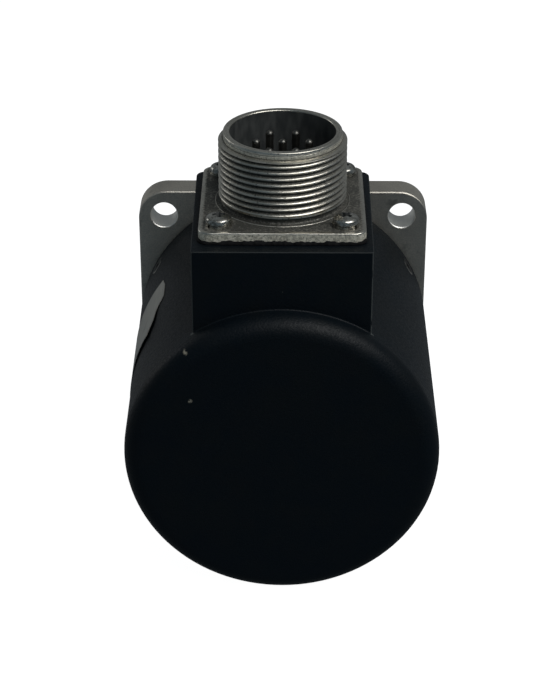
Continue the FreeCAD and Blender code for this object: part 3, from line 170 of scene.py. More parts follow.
class Look:
    """A Principled material whose nodes read the object's own coordinates, in millimetres."""

    def __init__(self, name, uniform):
        self.material = bpy.data.materials.new(name)
        self.material.use_nodes = True
        self.nodes = self.material.node_tree.nodes
        self.links = self.material.node_tree.links
        self.shader = self.nodes["Principled BSDF"]
        for socket, value in uniform.items():
            self.shader.inputs[socket].default_value = value
        place = self.nodes.new("ShaderNodeTexCoord").outputs["Object"]
        self.place = self.vector("MULTIPLY", place, (1 / MM,) * 3)
        self.normal = None

    def feed(self, socket, source):
        """Link a source to a socket, or set the socket where the source is a plain value."""
        if isinstance(source, bpy.types.NodeSocket):
            self.links.new(source, socket)
        elif isinstance(source, tuple) and len(socket.default_value) == 4 and len(source) == 3:
            socket.default_value = (*source, 1.0)
        else:
            socket.default_value = source

    def set(self, name, source):
        """Feed one of the shader's sockets."""
        self.feed(self.shader.inputs[name], source)

    def vector(self, operation, *sources):
        """Vector arithmetic. Returns the vector."""
        node = self.nodes.new("ShaderNodeVectorMath")
        node.operation = operation
        for socket, source in zip(node.inputs, sources):
            self.feed(socket, source)
        return node.outputs["Vector"]

    def length(self, source):
        """The length of a vector."""
        node = self.nodes.new("ShaderNodeVectorMath")
        node.operation = "LENGTH"
        self.feed(node.inputs[0], source)
        return node.outputs["Value"]

    def math(self, operation, first, second=0.0, third=0.0):
        """Arithmetic on values."""
        node = self.nodes.new("ShaderNodeMath")
        node.operation = operation
        for socket, source in zip(node.inputs, (first, second, third)):
            self.feed(socket, source)
        return node.outputs["Value"]

    def axis(self, name):
        """One coordinate of the place, in millimetres."""
        node = self.nodes.new("ShaderNodeSeparateXYZ")
        self.feed(node.inputs[0], self.place)
        return node.outputs[name]

    def away(self, name, place, mirrored=False):
        """Distance of one coordinate from a place, or from that place on either side of zero."""
        value = self.axis(name)
        value = self.math("ABSOLUTE", value) if mirrored else value
        return self.math("ABSOLUTE", self.math("SUBTRACT", value, place))

    def span(self, first, second):
        """The longest side of the right triangle with these two legs."""
        squares = self.math("ADD", self.math("POWER", first, 2.0), self.math("POWER", second, 2.0))
        return self.math("SQRT", squares)

    def both(self, first, second):
        """The product of two masks."""
        return self.math("MULTIPLY", first, second)

    def noise(self, size, detail=2.0, stretch=(1.0, 1.0, 1.0), seed=0.0, rough=0.5):
        """Noise from 0 to 1 whose spots are about size millimetres across."""
        step = tuple(part / size for part in stretch)
        shifted = self.vector("MULTIPLY_ADD", self.place, step, (seed, seed * 2.3, seed * 3.7))
        node = self.nodes.new("ShaderNodeTexNoise")
        self.feed(node.inputs["Vector"], shifted)
        node.inputs["Scale"].default_value = 1.0
        node.inputs["Detail"].default_value = detail
        node.inputs["Roughness"].default_value = rough
        return node.outputs["Fac"]

    def specks(self, spacing, share, radius, seed=0.0):
        """1 inside small dots in a share of the cells of a loose grid, 0 elsewhere."""
        shifted = self.vector("MULTIPLY_ADD", self.place, (1 / spacing,) * 3, (seed, seed, seed))
        node = self.nodes.new("ShaderNodeTexVoronoi")
        self.feed(node.inputs["Vector"], shifted)
        node.inputs["Scale"].default_value = 1.0
        picked = self.nodes.new("ShaderNodeSeparateColor")
        self.feed(picked.inputs[0], node.outputs["Color"])
        chosen = self.math("LESS_THAN", picked.outputs["Red"], share)
        reach = self.math("MULTIPLY", picked.outputs["Green"], radius / spacing)
        near = self.math("LESS_THAN", node.outputs["Distance"], reach)
        return self.math("MULTIPLY", chosen, near)

    def band(self, source, low, high, bottom=0.0, top=1.0):
        """A smooth step from bottom to top as the source goes from low to high."""
        node = self.nodes.new("ShaderNodeMapRange")
        node.interpolation_type = "SMOOTHSTEP"
        for socket, value in zip(node.inputs, (source, low, high, bottom, top)):
            self.feed(socket, value)
        return node.outputs["Result"]

    def mix(self, share, first, second):
        """A colour between two, by share."""
        node = self.nodes.new("ShaderNodeMix")
        node.data_type = "RGBA"
        colours = [socket for socket in node.inputs if socket.type == "RGBA"]
        self.feed(node.inputs["Factor"], share)
        self.feed(colours[0], first)
        self.feed(colours[1], second)
        return next(socket for socket in node.outputs if socket.type == "RGBA")

    def attribute(self, name):
        """A value stored on the mesh's points."""
        node = self.nodes.new("ShaderNodeAttribute")
        node.attribute_name = name
        return node.outputs["Fac"]

    def relief(self, height, depth):
        """Bump of a depth in millimetres, on top of what is there already."""
        node = self.nodes.new("ShaderNodeBump")
        node.inputs["Distance"].default_value = depth * MM
        self.feed(node.inputs["Height"], height)
        if self.normal is not None:
            self.feed(node.inputs["Normal"], self.normal)
        self.normal = node.outputs["Normal"]
        self.feed(self.shader.inputs["Normal"], self.normal)


def cover_coating():
    """Matt black coating on a fine-grained casting, a little dusty, with two nicks through to the metal
    at the rear; a paler stroke along the block's edges is painted highlight, partly meant as worn coating."""
    look = Look("black_coating", {"Specular IOR Level": 0.17})
    blue_black, grey_black = (0.002, 0.0046, 0.0072), (0.0034, 0.0054, 0.007)
    # The first colour on the next line is the paler grey of the painted edge highlight, partly meant as worn
    # coating.
    highlight_and_rub_grey, pale_dust, bare = (0.06, 0.066, 0.064), (0.14, 0.135, 0.115), (0.24, 0.225, 0.18)
    mottle = look.band(look.noise(7.0, detail=4.0), 0.35, 0.68)
    grain = look.noise(0.42, detail=2.0)
    stroke_breakup = look.noise(1.3, detail=5.0, stretch=(1.0, 1.0, 0.35), seed=5.0)
    dust = look.specks(2.7, 0.16, 0.13)
    ragged = look.noise(0.55, detail=4.0, seed=11.0)
    forward = look.math("SUBTRACT", look.axis("Y"), BLOCK_REAR)
    nicks = 0.0
    for across, up in EDGE_NICKS:
        near = look.band(look.span(look.away("X", across), look.away("Z", up)), 0.15, 0.6, 1.0, 0.0)
        nicks = look.math("MAXIMUM", nicks, near)
    nicks = look.both(nicks, look.band(ragged, 0.47, 0.53))
    nicks = look.both(nicks, look.band(forward, -1.5, 0.0, 1.0, 0.0))
    # Painted highlight: paler strokes along the block's vertical rear edges and its top edges, where the
    # rounded edges catch light; partly meant as worn coating.
    half = look.math("MULTIPLY_ADD", forward, BLOCK_TAPER, BLOCK_HALF)
    side = look.math("ABSOLUTE", look.math("SUBTRACT", look.math("ABSOLUTE", look.axis("X")), half))
    rear = look.away("Y", BLOCK_REAR)
    top = look.away("Z", BLOCK_TOP)
    upright_highlight_and_rub = look.both(look.band(look.math("MAXIMUM", side, rear), 0.2, 0.34, 1.0, 0.0),
                        look.band(stroke_breakup, 0.36, 0.46))
    level = look.band(look.math("MAXIMUM", top, look.math("MINIMUM", side, rear)), 0.1, 0.24, 0.35, 0.0)
    colour = look.mix(mottle, blue_black, grey_black)
    colour = look.mix(look.math("MAXIMUM", upright_highlight_and_rub, level), colour, highlight_and_rub_grey)
    colour = look.mix(dust, colour, pale_dust)
    look.set("Base Color", look.mix(nicks, colour, bare))
    look.set("Roughness", look.band(grain, 0.3, 0.7, 0.4, 0.56))
    look.relief(look.noise(1.6, detail=2.0, seed=4.0), 0.03)
    look.relief(grain, 0.06)
    return look.material


def blackened_screw():
    """Black screw with a bare steel crescent along the rear of its head's rim: painted highlight where the
    rim catches light, partly meant as worn finish.
    """
    look = Look("blackened_screw", {"Specular IOR Level": 0.3})
    step = TAU / COVER_SCREW_COUNT
    black, glint_worn_steel = (0.008, 0.008, 0.0085), (0.42, 0.41, 0.38)
    angle = look.math("ARCTAN2", look.axis("X"), look.axis("Z"))
    turned = look.math("SUBTRACT", look.math("FLOORED_MODULO", angle, step), step / 2)
    across = look.math("MULTIPLY", look.math("SINE", turned), COVER_FRONT_RADIUS)
    along = look.math("SUBTRACT", look.axis("Y"), COVER_SCREW_STATION)
    # Painted highlight: bare steel on the rear arc of each head's rim, where light glints, partly meant as
    # worn finish.
    ring = look.band(look.span(across, along), GLINT_WEAR_INSIDE, GLINT_WEAR_OUTSIDE)
    rim_glint_and_wear = look.both(ring, look.band(along, -1.2, -0.4, 1.0, 0.0))
    rim_glint_and_wear = look.both(rim_glint_and_wear, look.band(look.noise(0.9, detail=4.0, seed=3.0), 0.36, 0.5))
    look.set("Base Color", look.mix(rim_glint_and_wear, black, glint_worn_steel))
    look.set("Metallic", rim_glint_and_wear)
    look.set("Roughness", look.band(look.noise(0.5, detail=3.0), 0.3, 0.7, 0.34, 0.5))
    look.relief(look.noise(0.3, detail=2.0), 0.01)
    return look.material


def blasted_aluminium():
    """Dull blasted aluminium with handling stains; the holes' walls are paler, partly shiny machining and
    partly painted reflection of pale surroundings.
    """
    look = Look("blasted_aluminium", {"Metallic": 1.0})
    dull, pale, pitted = (0.56, 0.52, 0.45), (0.7, 0.655, 0.57), (0.22, 0.22, 0.21)
    stained, smudged, bore_and_reflection_pale = (0.2, 0.19, 0.17), (0.1, 0.1, 0.1), (0.86, 0.85, 0.81)
    cloud = look.band(look.noise(11.0, detail=5.0), 0.3, 0.7)
    stain = look.band(look.noise(3.4, detail=6.0, seed=7.0), 0.58, 0.72)
    grain = look.noise(0.3, detail=3.0, rough=0.6)
    smudge = look.specks(9.0, 0.25, 1.1, seed=2.0)
    # Paler walls inside the mounting holes: partly shiny machining, partly painted reflection of the pale
    # surroundings.
    bore_and_reflection = look.span(look.away("X", HOLE_OFFSET, True), look.away("Z", HOLE_OFFSET, True))
    bore_and_reflection = look.band(bore_and_reflection, BORED_REACH, BORED_REACH + 0.08, 1.0, 0.0)
    colour = look.mix(cloud, dull, pale)
    colour = look.mix(look.band(grain, 0.35, 0.65, 0.3, 0.0), colour, pitted)
    colour = look.mix(look.math("MULTIPLY", stain, 0.5), colour, stained)
    colour = look.mix(look.math("MULTIPLY", smudge, 0.22), colour, smudged)
    look.set("Base Color", look.mix(bore_and_reflection, colour, bore_and_reflection_pale))
    look.set("Roughness", look.band(grain, 0.3, 0.7, 0.42, 0.56))
    look.relief(look.noise(1.1, detail=3.0, seed=3.0), 0.012)
    look.relief(grain, 0.03)
    return look.material


def worn_plating():
    """Pitted nickel plating: shiny where it is worn clean, grainy grey dirt where it is not, and sandy
    beige where the stored dirt is below zero."""
    look = Look("worn_plating", {})
    nickel, bright_nickel, grime = (0.56, 0.53, 0.46), (0.72, 0.685, 0.6), (0.06, 0.06, 0.052)
    sand, pale_sand, pit = (0.36, 0.345, 0.275), (0.8, 0.765, 0.64), (0.02, 0.02, 0.018)
    dirt = look.attribute("dirt")
    spots = look.noise(0.5, detail=4.0, rough=0.7)
    patch = look.noise(3.6, detail=3.0, seed=5.0)
    sandy = look.band(dirt, -0.6, -0.1, 1.0, 0.0)
    uneven = look.math("ADD", look.math("MULTIPLY", spots, 1.3), look.math("MULTIPLY", patch, 0.5))
    cover = look.band(look.math("ADD", dirt, look.math("SUBTRACT", uneven, 0.9)), 0.25, 0.95)
    pits = look.band(look.noise(0.42, detail=3.0, seed=9.0, rough=0.6), 0.6, 0.68)
    metal = look.mix(look.band(patch, 0.3, 0.7), nickel, bright_nickel)
    colour = look.mix(cover, metal, grime)
    beige = look.mix(look.band(spots, 0.35, 0.62), sand, pale_sand)
    colour = look.mix(sandy, colour, beige)
    look.set("Base Color", look.mix(look.math("MULTIPLY", pits, 0.75), colour, pit))
    plain = look.band(cover, 0.2, 1.0, 1.0, 0.45)
    look.set("Metallic", look.math("SUBTRACT", plain, look.math("MULTIPLY", sandy, 0.75)))
    rough = look.band(cover, 0.0, 1.0, 0.28, 0.6)
    look.set("Roughness", look.math("MAXIMUM", rough, look.math("MULTIPLY", sandy, 0.55)))
    look.relief(look.noise(0.9, detail=3.0, seed=1.0), 0.025)
    look.relief(spots, 0.05)
    return look.material


def painted_shade_lining():
    """Painted shade: dark, faintly streaked colour on the inside of the receptacle's barrel, its holes and
    the screws' recesses, where shade falls; in the barrel partly taken as a dark liner.
    """
    look = Look("painted_shade_lining", {"Specular IOR Level": 0.35})
    streak = look.noise(1.4, detail=4.0, stretch=(1.0, 1.0, 0.35))
    colour = look.mix(look.band(streak, 0.35, 0.7), (0.03, 0.033, 0.033), (0.055, 0.058, 0.056))
    look.set("Base Color", colour)
    look.set("Roughness", look.band(streak, 0.3, 0.7, 0.5, 0.7))
    look.relief(look.noise(0.5, detail=3.0), 0.02)
    return look.material


def screw_plating():
    """Plated screws, dull in some random patches and shiny in others."""
    look = Look("screw_plating", {"Metallic": 1.0})
    haze = look.noise(0.7, detail=5.0, rough=0.65)
    colour = look.mix(look.band(haze, 0.38, 0.62), (0.66, 0.64, 0.58), (0.2, 0.195, 0.175))
    look.set("Base Color", colour)
    look.set("Roughness", look.band(haze, 0.35, 0.7, 0.2, 0.46))
    look.relief(look.noise(0.35, detail=2.0, seed=6.0), 0.02)
    return look.material


def satin_film():
    """Brushed satin film of the nameplate."""
    look = Look("satin_film", {"Metallic": 0.55})
    brushed = look.noise(0.5, detail=3.0, stretch=(1.0, 0.08, 1.0))
    soil = look.band(look.noise(4.5, detail=5.0, seed=8.0), 0.55, 0.8)
    colour = look.mix(look.band(brushed, 0.3, 0.7), (0.36, 0.35, 0.315), (0.45, 0.435, 0.39))
    look.set("Base Color", look.mix(look.math("MULTIPLY", soil, 0.5), colour, (0.15, 0.14, 0.12)))
    look.set("Roughness", look.band(brushed, 0.3, 0.7, 0.4, 0.52))
    look.relief(brushed, 0.004)
    return look.material


def soft_rubber(name, colour):
    """Matt rubber with a dusty bloom."""
    look = Look(name, {"Specular IOR Level": 0.2})
    bloom = look.noise(1.8, detail=4.0)
    pale = tuple(part * 2.2 + 0.004 for part in colour)
    look.set("Base Color", look.mix(look.band(bloom, 0.45, 0.8), colour, pale))
    look.set("Roughness", look.band(bloom, 0.3, 0.7, 0.62, 0.8))
    look.relief(look.noise(0.3, detail=2.0), 0.01)
    return look.material


def moulded(name, colour, roughness):
    """Moulded plastic with a faint skin texture."""
    look = Look(name, {"Specular IOR Level": 0.4})
    skin = look.noise(0.45, detail=3.0)
    flow = look.noise(6.0, detail=2.0, seed=3.0)
    darker = tuple(part * 0.75 for part in colour)
    look.set("Base Color", look.mix(look.band(flow, 0.35, 0.7), colour, darker))
    look.set("Roughness", look.band(skin, 0.3, 0.7, roughness - 0.06, roughness + 0.08))
    look.relief(skin, 0.008)
    return look.material


def machined(name, colour, roughness, axis="Y"):
    """Turned or ground metal with fine tool marks round an axis."""
    look = Look(name, {"Metallic": 1.0})
    stretch = tuple(1.0 if part == axis else 0.05 for part in "XYZ")
    marks = look.noise(0.16, detail=2.0, stretch=stretch)
    tarnish = look.noise(5.0, detail=4.0, seed=2.0)
    dull = tuple(part * 0.78 for part in colour)
    look.set("Base Color", look.mix(look.band(tarnish, 0.4, 0.75), colour, dull))
    look.set("Roughness", look.band(marks, 0.3, 0.7, roughness * 0.8, roughness * 1.3))
    look.relief(marks, 0.004)
    return look.material


def printed_glass():
    """Clear disc with a ring of fine dark lines."""
    line_count, track_inside, track_outside = 250.0, 19.0, 21.0
    look = Look("printed_glass", {"IOR": 1.5})
    across = look.axis("X")
    up = look.axis("Z")
    angle = look.math("ARCTAN2", across, up)
    radius = look.length(look.vector("MULTIPLY", look.place, (1.0, 0.0, 1.0)))
    lines = look.math("GREATER_THAN", look.math("SINE", look.math("MULTIPLY", angle, line_count)), 0.0)
    outer = look.math("GREATER_THAN", radius, track_inside)
    inner = look.math("LESS_THAN", radius, track_outside)
    track = look.math("MULTIPLY", look.math("MULTIPLY", outer, inner), lines)
    look.set("Base Color", look.mix(track, (0.9, 0.94, 0.94), (0.01, 0.01, 0.01)))
    look.set("Roughness", look.band(look.noise(6.0, detail=3.0), 0.3, 0.8, 0.02, 0.08))
    look.set("Transmission Weight", look.math("SUBTRACT", 1.0, track))
    return look.material


def laminate():
    """Green solder mask over glass weave."""
    weave_rate = 9.0
    look = Look("laminate", {"Specular IOR Level": 0.5})
    weave = look.math(
        "MULTIPLY",
        look.math("SINE", look.math("MULTIPLY", look.axis("X"), weave_rate)),
        look.math("SINE", look.math("MULTIPLY", look.axis("Z"), weave_rate)),
    )
    cloud = look.noise(5.0, detail=3.0)
    look.set("Base Color", look.mix(look.band(cloud, 0.3, 0.7), (0.012, 0.11, 0.045), (0.018, 0.15, 0.06)))
    look.set("Roughness", look.band(cloud, 0.3, 0.7, 0.28, 0.42))
    look.relief(weave, 0.006)
    return look.material


MATERIALS = {
    "flange_aluminium": blasted_aluminium(),
    "cover_black": cover_coating(),
    "shell_plating": worn_plating(),
    "screw_plating": screw_plating(),
    "cover_screw_black": blackened_screw(),
    "insert_polymer": moulded("insert_polymer", (0.014, 0.017, 0.018), 0.6),
    "contact_metal": machined("contact_metal", (0.16, 0.155, 0.14), 0.36, axis="Z"),
    "gasket_rubber": soft_rubber("gasket_rubber", (0.004, 0.004, 0.0045)),
    "label_film": satin_film(),
    "shaft_steel": machined("shaft_steel", (0.62, 0.62, 0.61), 0.24),
    "bearing_steel": machined("bearing_steel", (0.68, 0.68, 0.69), 0.12),
    "spring_steel": machined("spring_steel", (0.36, 0.36, 0.37), 0.32),
    "cage_polymer": moulded("cage_polymer", (0.48, 0.34, 0.15), 0.45),
    "seal_rubber": soft_rubber("seal_rubber", (0.012, 0.012, 0.013)),
    "hub_aluminium": machined("hub_aluminium", (0.66, 0.66, 0.67), 0.28),
    "disc_glass": printed_glass(),
    "brass_turned": machined("brass_turned", (0.72, 0.5, 0.22), 0.25),
    "board_laminate": laminate(),
    "chip_plastic": moulded("chip_plastic", (0.012, 0.012, 0.014), 0.5),
    "capacitor_sleeve": moulded("capacitor_sleeve", (0.02, 0.03, 0.14), 0.3),
    "led_plastic": moulded("led_plastic", (0.2, 0.012, 0.014), 0.18),
    "wire_insulation": moulded("wire_insulation", (0.62, 0.62, 0.58), 0.35),
}
# Painted shade for the barrel's bore, the screw holes and the screws' recesses.
SHADE_LINING = painted_shade_lining()


# --- mesh helpers --------------------------------------------------------------------


WELD_DISTANCE = 0.002


def add_mesh(name, points, faces, materials, place=Matrix.Identity(4)):
    """A mesh object from points in millimetres."""
    mesh = bpy.data.meshes.new(name)
    mesh.from_pydata([(place @ Vector(point)) * MM for point in points], [], faces)
    mesh.validate()
    for material in materials:
        mesh.materials.append(material)
    item = bpy.data.objects.new(name, mesh)
    bpy.context.scene.collection.objects.link(item)
    return item


def shade(item, angle=32.0):
    """Smooth faces with creases kept where the surface turns more than an angle in degrees."""
    item.data.shade_smooth()
    item.data.set_sharp_from_angle(angle=math.radians(angle))


def finish_piece(item, slot, body, *nodes):
    """Smooth a piece, give it its body and hide the CAD nodes that it stands for; the finish it is handed is
    not used.
    """
    shade(item)
    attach(item, body)
    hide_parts(*nodes)
    return item


def lathe(profile, columns):
    """Points and faces of an open (radius, height) profile turned about Z, with its ends on the axis."""
    points, rings = [], []
    for radius, height in profile:
        if radius == 0:
            rings.append([len(points)] * columns)
            points.append((0, 0, height))
            continue
        rings.append(range(len(points), len(points) + columns))
        for column in range(columns):
            angle = TAU * column / columns
            points.append((radius * math.cos(angle), radius * math.sin(angle), height))
    faces = []
    for lower, upper in zip(rings, rings[1:]):
        for column in range(columns):
            after = (column + 1) % columns
            corners = [lower[column], lower[after], upper[after], upper[column]]
            faces.append(list(dict.fromkeys(corners)))
    return points, faces


def arc(centre, radius, start, end, steps):
    """(radius, height) points of a quarter or other arc, by angle in degrees."""
    found = []
    for step in range(steps + 1):
        angle = math.radians(start + (end - start) * step / steps)
        found.append((centre[0] + radius * math.cos(angle), centre[1] + radius * math.sin(angle)))
    return found


def cut(item, cutters):
    """Take the cutters' volumes out of an object, then remove the cutters."""
    for cutter in cutters:
        modifier = item.modifiers.new("cut", "BOOLEAN")
        modifier.operation = "DIFFERENCE"
        modifier.solver = "EXACT"
        modifier.object = cutter
    evaluated = item.evaluated_get(bpy.context.evaluated_depsgraph_get())
    carved = bpy.data.meshes.new_from_object(evaluated)
    welded = bmesh.new()
    welded.from_mesh(carved)
    bmesh.ops.remove_doubles(welded, verts=welded.verts, dist=WELD_DISTANCE * MM)
    bmesh.ops.dissolve_degenerate(welded, edges=welded.edges, dist=WELD_DISTANCE * MM)
    welded.to_mesh(carved)
    welded.free()
    item.modifiers.clear()
    item.data = carved
    for cutter in cutters:
        bpy.data.objects.remove(cutter)


def repeated(item, name, places):
    """One object that holds a copy of another's mesh at each place, which is in millimetres."""
    points, faces, source = [], [], item.data
    for place in places:
        start = len(points)
        points += [place @ (vertex.co / MM) for vertex in source.vertices]
        faces += [[start + index for index in polygon.vertices] for polygon in source.polygons]
    made = add_mesh(name, points, faces, source.materials)
    kinds = [polygon.material_index for polygon in source.polygons] * len(places)
    made.data.polygons.foreach_set("material_index", kinds)
    bpy.data.objects.remove(item)
    return made


def cutter(name, points, faces, place):
    """A cutter whose cut faces take the second material of what it cuts."""
    # Faces cut by this cutter take the painted shade material.
    item = add_mesh(name, points, faces, [SHADE_LINING, SHADE_LINING], place)
    item.data.polygons.foreach_set("material_index", [1] * len(item.data.polygons))
    return item


def drills(height=0.0):
    """Cutters for the four screw holes of the receptacle's plate, at a height above its base."""
    points, faces = lathe([(0, -1), (SCREW_HOLE, -1), (SCREW_HOLE, 4), (0, 4)], 32)
    return [cutter("drill", points, faces, socket_place(side * SCREW_OFFSET, end * SCREW_OFFSET, height))
            for side in (-1, 1) for end in (-1, 1)]


def ease(value, low, high):
    """Smooth step from 0 to 1 as the value goes from low to high."""
    share = min(1.0, max(0.0, (value - low) / (high - low)))
    return share * share * (3 - 2 * share)


# --- receptacle shell ----------------------------------------------------------------


def square_reach(angle, half, corner):
    """Distance from the centre to a rounded square's outline, at an angle."""
    across, up = abs(math.cos(angle)), abs(math.sin(angle))
    centre = half - corner
    straight = half / max(across, up)
    if min(across, up) * straight <= centre:
        return straight
    along = (across + up) * centre
    return along + math.sqrt(along ** 2 - 2 * centre ** 2 + corner ** 2)


def shell_angles():
    """Column angles, closer together where the plate's rounded corners are."""
    side_steps, corner_steps, corner_half = 40, 12, math.radians(5.5)
    side = TAU / 4 - 2 * corner_half
    found = []
    for quarter in range(4):
        start = TAU * quarter / 4 - TAU / 8
        found += [start + corner_half * (2 * step / corner_steps - 1) for step in range(corner_steps)]
        found += [start + corner_half + side * step / side_steps for step in range(side_steps)]
    first = found[0]
    return [angle - first for angle in found], first


def thread_share(turn):
    """Depth of the thread at a fraction of a pitch: 0 on the crest, 1 at the root."""
    away = abs(2 * (turn % 1.0) - 1)
    flank = min(1.0, max(0.0, (1 - away - CREST_SHARE) / FLANK_SHARE))
    return (1 - FLANK_CURVE) * flank + FLANK_CURVE * flank * flank * (3 - 2 * flank)


def key_rib(angle):
    """1 at the angles of the polarising key inside the barrel, 0 elsewhere."""
    away = abs((angle + TAU / 4 + math.pi) % TAU - math.pi)
    return 1.0 if away < math.atan(KEY_WIDTH / 2 / BORE) else 0.0


def shell_rows(angle):
    """(radius, height, dirt) of the plain rows before and after the thread, at one column's angle.
    The dirt is 1 where grime lies thick, 0 where the plating is rubbed and below 0 where it is sandy."""
    rib = BORE - KEY_HEIGHT * key_rib(angle)
    score = SOCKET_TOP - RIM_SCORE
    before = [
        (BORE_BACK, SOCKET_BACK, 1.0), (BORE_BACK, BORE_STEP, 1.0), (rib, BORE_STEP, 1.0),
        (rib, KEY_TOP, 1.0), (BORE, KEY_TOP + 0.12, 1.0), (BORE, SOCKET_TOP - 0.9, 0.9),
        (BORE, SOCKET_TOP - 0.3, 0.6),
    ]
    before += [(r, z, 0.1) for r, z in arc((BORE + 0.24, SOCKET_TOP - 0.24), 0.24, 170, 90, 3)]
    before += [(RIM - 0.62, SOCKET_TOP, 0.5)]
    before += [(r, z, -0.1) for r, z in arc((RIM - RIM_EDGE, SOCKET_TOP - RIM_EDGE), RIM_EDGE, 90, 0, 4)]
    before += [(RIM, score + 0.07, -0.48), (RIM - 0.09, score, 1.3), (RIM, score - 0.07, -0.45),
               (RIM, RIM_START + 0.16, -0.4), (RIM - 0.04, RIM_START + 0.02, 1.2),
               (RIM + 0.12, RIM_START, 0.6), (CREST - 0.16, THREAD_END + 0.1, 0.0),
               (CREST - 0.04, THREAD_END + 0.03, -0.05)]
    fillet_centre = (NECK + BASE_FILLET, PLATE_THICKNESS + BASE_FILLET)
    fillet = [(r, z, 0.85) for r, z in arc(fillet_centre, BASE_FILLET, 180, 270, 4)]
    top, reach = PLATE_THICKNESS, []
    for step in range(5):
        turn = TAU / 4 * step / 4
        inset = PLATE_EDGE * (1 - math.sin(turn))
        reach.append((square_reach(angle, SOCKET_HALF - inset, PLATE_CORNER - inset),
                      top - PLATE_EDGE * (1 - math.cos(turn)), 0.1))
    edge = square_reach(angle, SOCKET_HALF, PLATE_CORNER)
    inner = square_reach(angle, SOCKET_HALF - 1.0, PLATE_CORNER - 1.0)
    after = [(CREST - 0.12, THREAD_START - 0.08, 0.5), (NECK, THREAD_START - 0.3, 1.1)] + fillet
    after += [(BASE_RING - RING_HALF, top, 0.9), (BASE_RING, top + RING_RISE, 0.2),
              (BASE_RING + RING_HALF, top, 0.9),
              (inner, top, 0.85)]
    after += reach
    after += [(edge, top - PLATE_EDGE - 0.1, -0.7), (edge, top * 0.4, -0.7), (edge, 0.3, -0.5),
              (edge, 0.12, 0.4), (edge - 0.12, 0.0, 0.8), (BARREL_BACK, 0.0, 1.0),
              (BARREL_BACK, SOCKET_BACK, 1.0)]
    return before, after


def thread_rows(turn_share):
    """(radius, height, dirt, row) of the thread down one column, and the first row on the top ring."""
    length = THREAD_END - THREAD_START
    last = math.ceil(THREAD_STEPS * (1 + THREAD_PHASE + length / THREAD_PITCH))
    rows = []
    for row in range(-THREAD_STEPS, last + 1):
        height = THREAD_END + THREAD_PITCH * (turn_share + THREAD_PHASE - row / THREAD_STEPS)
        clamped = min(THREAD_END, max(THREAD_START, height))
        fade = ease(THREAD_END - clamped, 0.0, THREAD_FADE_TOP)
        fade *= ease(clamped - THREAD_START, 0.0, THREAD_FADE_BOTTOM)
        depth = thread_share(row / THREAD_STEPS) * fade
        rows.append((CREST - THREAD_DEPTH * depth, clamped, depth * 1.1, height != clamped))
    return rows


def receptacle_shell():
    """Plate and threaded barrel as one closed skin, with a true right-hand helical thread."""
    angles, first = shell_angles()
    points, dirt, columns = [], [], []

    def add(angle, radius, height, soil):
        """Store a point and its dirt. Returns its index."""
        points.append((radius * math.cos(angle), radius * math.sin(angle), height))
        dirt.append(soil)
        return len(points) - 1

    for angle in angles:
        place = angle + first
        before, after = shell_rows(place)
        upper = [add(place, *row) for row in before]
        middle, top, bottom = [], None, None
        for radius, height, soil, held in thread_rows(angle / TAU):
            if held and height == THREAD_END:
                top = add(place, radius, height, soil) if top is None else top
                middle.append(top)
            elif held:
                bottom = add(place, radius, height, soil) if bottom is None else bottom
                middle.append(bottom)
            else:
                middle.append(add(place, radius, height, soil))
        lower = [add(place, *row) for row in after]
        columns.append((upper, middle, lower))

    faces, shade_painted_faces = [], []

    def strip(left, right, start_right=0):
        """Faces between two columns of points, the right one lagging by some rows."""
        for row in range(len(left) - 1):
            other = max(0, row - start_right)
            above = max(0, row + 1 - start_right)
            corners = [left[row], left[row + 1], right[above], right[other]]
            corners = list(dict.fromkeys(corners))
            if len(corners) > 2:
                faces.append(corners)

    for index, (upper, middle, lower) in enumerate(columns):
        after = columns[(index + 1) % len(columns)]
        lag = THREAD_STEPS if index == len(columns) - 1 else 0
        count = len(faces)
        strip(upper, after[0])
        # The bore's faces take the painted shade material.
        shade_painted_faces += range(count, count + BORE_ROWS)
        strip(middle, after[1], lag)
        strip([middle[-1]] + lower, [after[1][-1]] + after[2])
        strip([lower[-1], upper[0]], [after[2][-1], after[0][0]])
        strip([upper[-1], middle[0]], [after[0][-1], after[1][0]])
    place = Matrix.Translation((SOCKET_AXIS.x, SOCKET_AXIS.y, SOCKET_BASE))
    item = add_mesh("receptacle_shell", points, faces, [MATERIALS["shell_plating"], SHADE_LINING], place)
    return item, dirt, shade_painted_faces


def socket_place(across=0.0, along=0.0, height=0.0, turn=0.0):
    """A place in the receptacle's own frame, in millimetres."""
    move = Matrix.Translation((SOCKET_AXIS.x + across, SOCKET_AXIS.y + along, SOCKET_BASE + height))
    return move @ Matrix.Rotation(turn, 4, "Z")


def build_shell():
    """The shell with its soil stored on its points, its bore in painted shade and its four screw holes."""
    item, dirt, shade_painted_faces = receptacle_shell()
    stored = item.data.attributes.new("dirt", "FLOAT", "POINT")
    stored.data.foreach_set("value", dirt)
    for face in shade_painted_faces:
        item.data.polygons[face].material_index = 1
    cut(item, drills())
    return finish_piece(item, "shell_plating", "housing", "connector_shell")


# --- screws, contacts and gasket -----------------------------------------------------


def cross_cutters():
    """Two tapered bars in a cross and a cone at their middle, for a driver recess in the head's top."""
    top = Matrix.Translation((0, 0, HEAD_HEIGHT))
    cone_profile = [(0, -CROSS_DEPTH - 0.3), (CROSS_CONE, 0.4), (0, 0.4)]
    cone_points, cone_faces = lathe(cone_profile, 20)
    found = [cutter("cone", cone_points, cone_faces, top)]
    # Each bar's height, share of the span and share of the width, at its top and at its bottom.
    ends = ((0.6, 1.12, 1.12), (-CROSS_DEPTH, 0.5, 0.7))
    for turn in (0.0, TAU / 4):
        points = []
        for height, span, width in ends:
            x, y = CROSS_SPAN / 2 * span, CROSS_WIDTH / 2 * width
            points += [(-x, -y, height), (x, -y, height), (x, y, height), (-x, y, height)]
        faces = [(0, 1, 2, 3), (7, 6, 5, 4), (0, 4, 5, 1), (1, 5, 6, 2), (2, 6, 7, 3), (3, 7, 4, 0)]
        found.append(cutter("bar", points, faces, top @ Matrix.Rotation(turn, 4, "Z")))
    return found


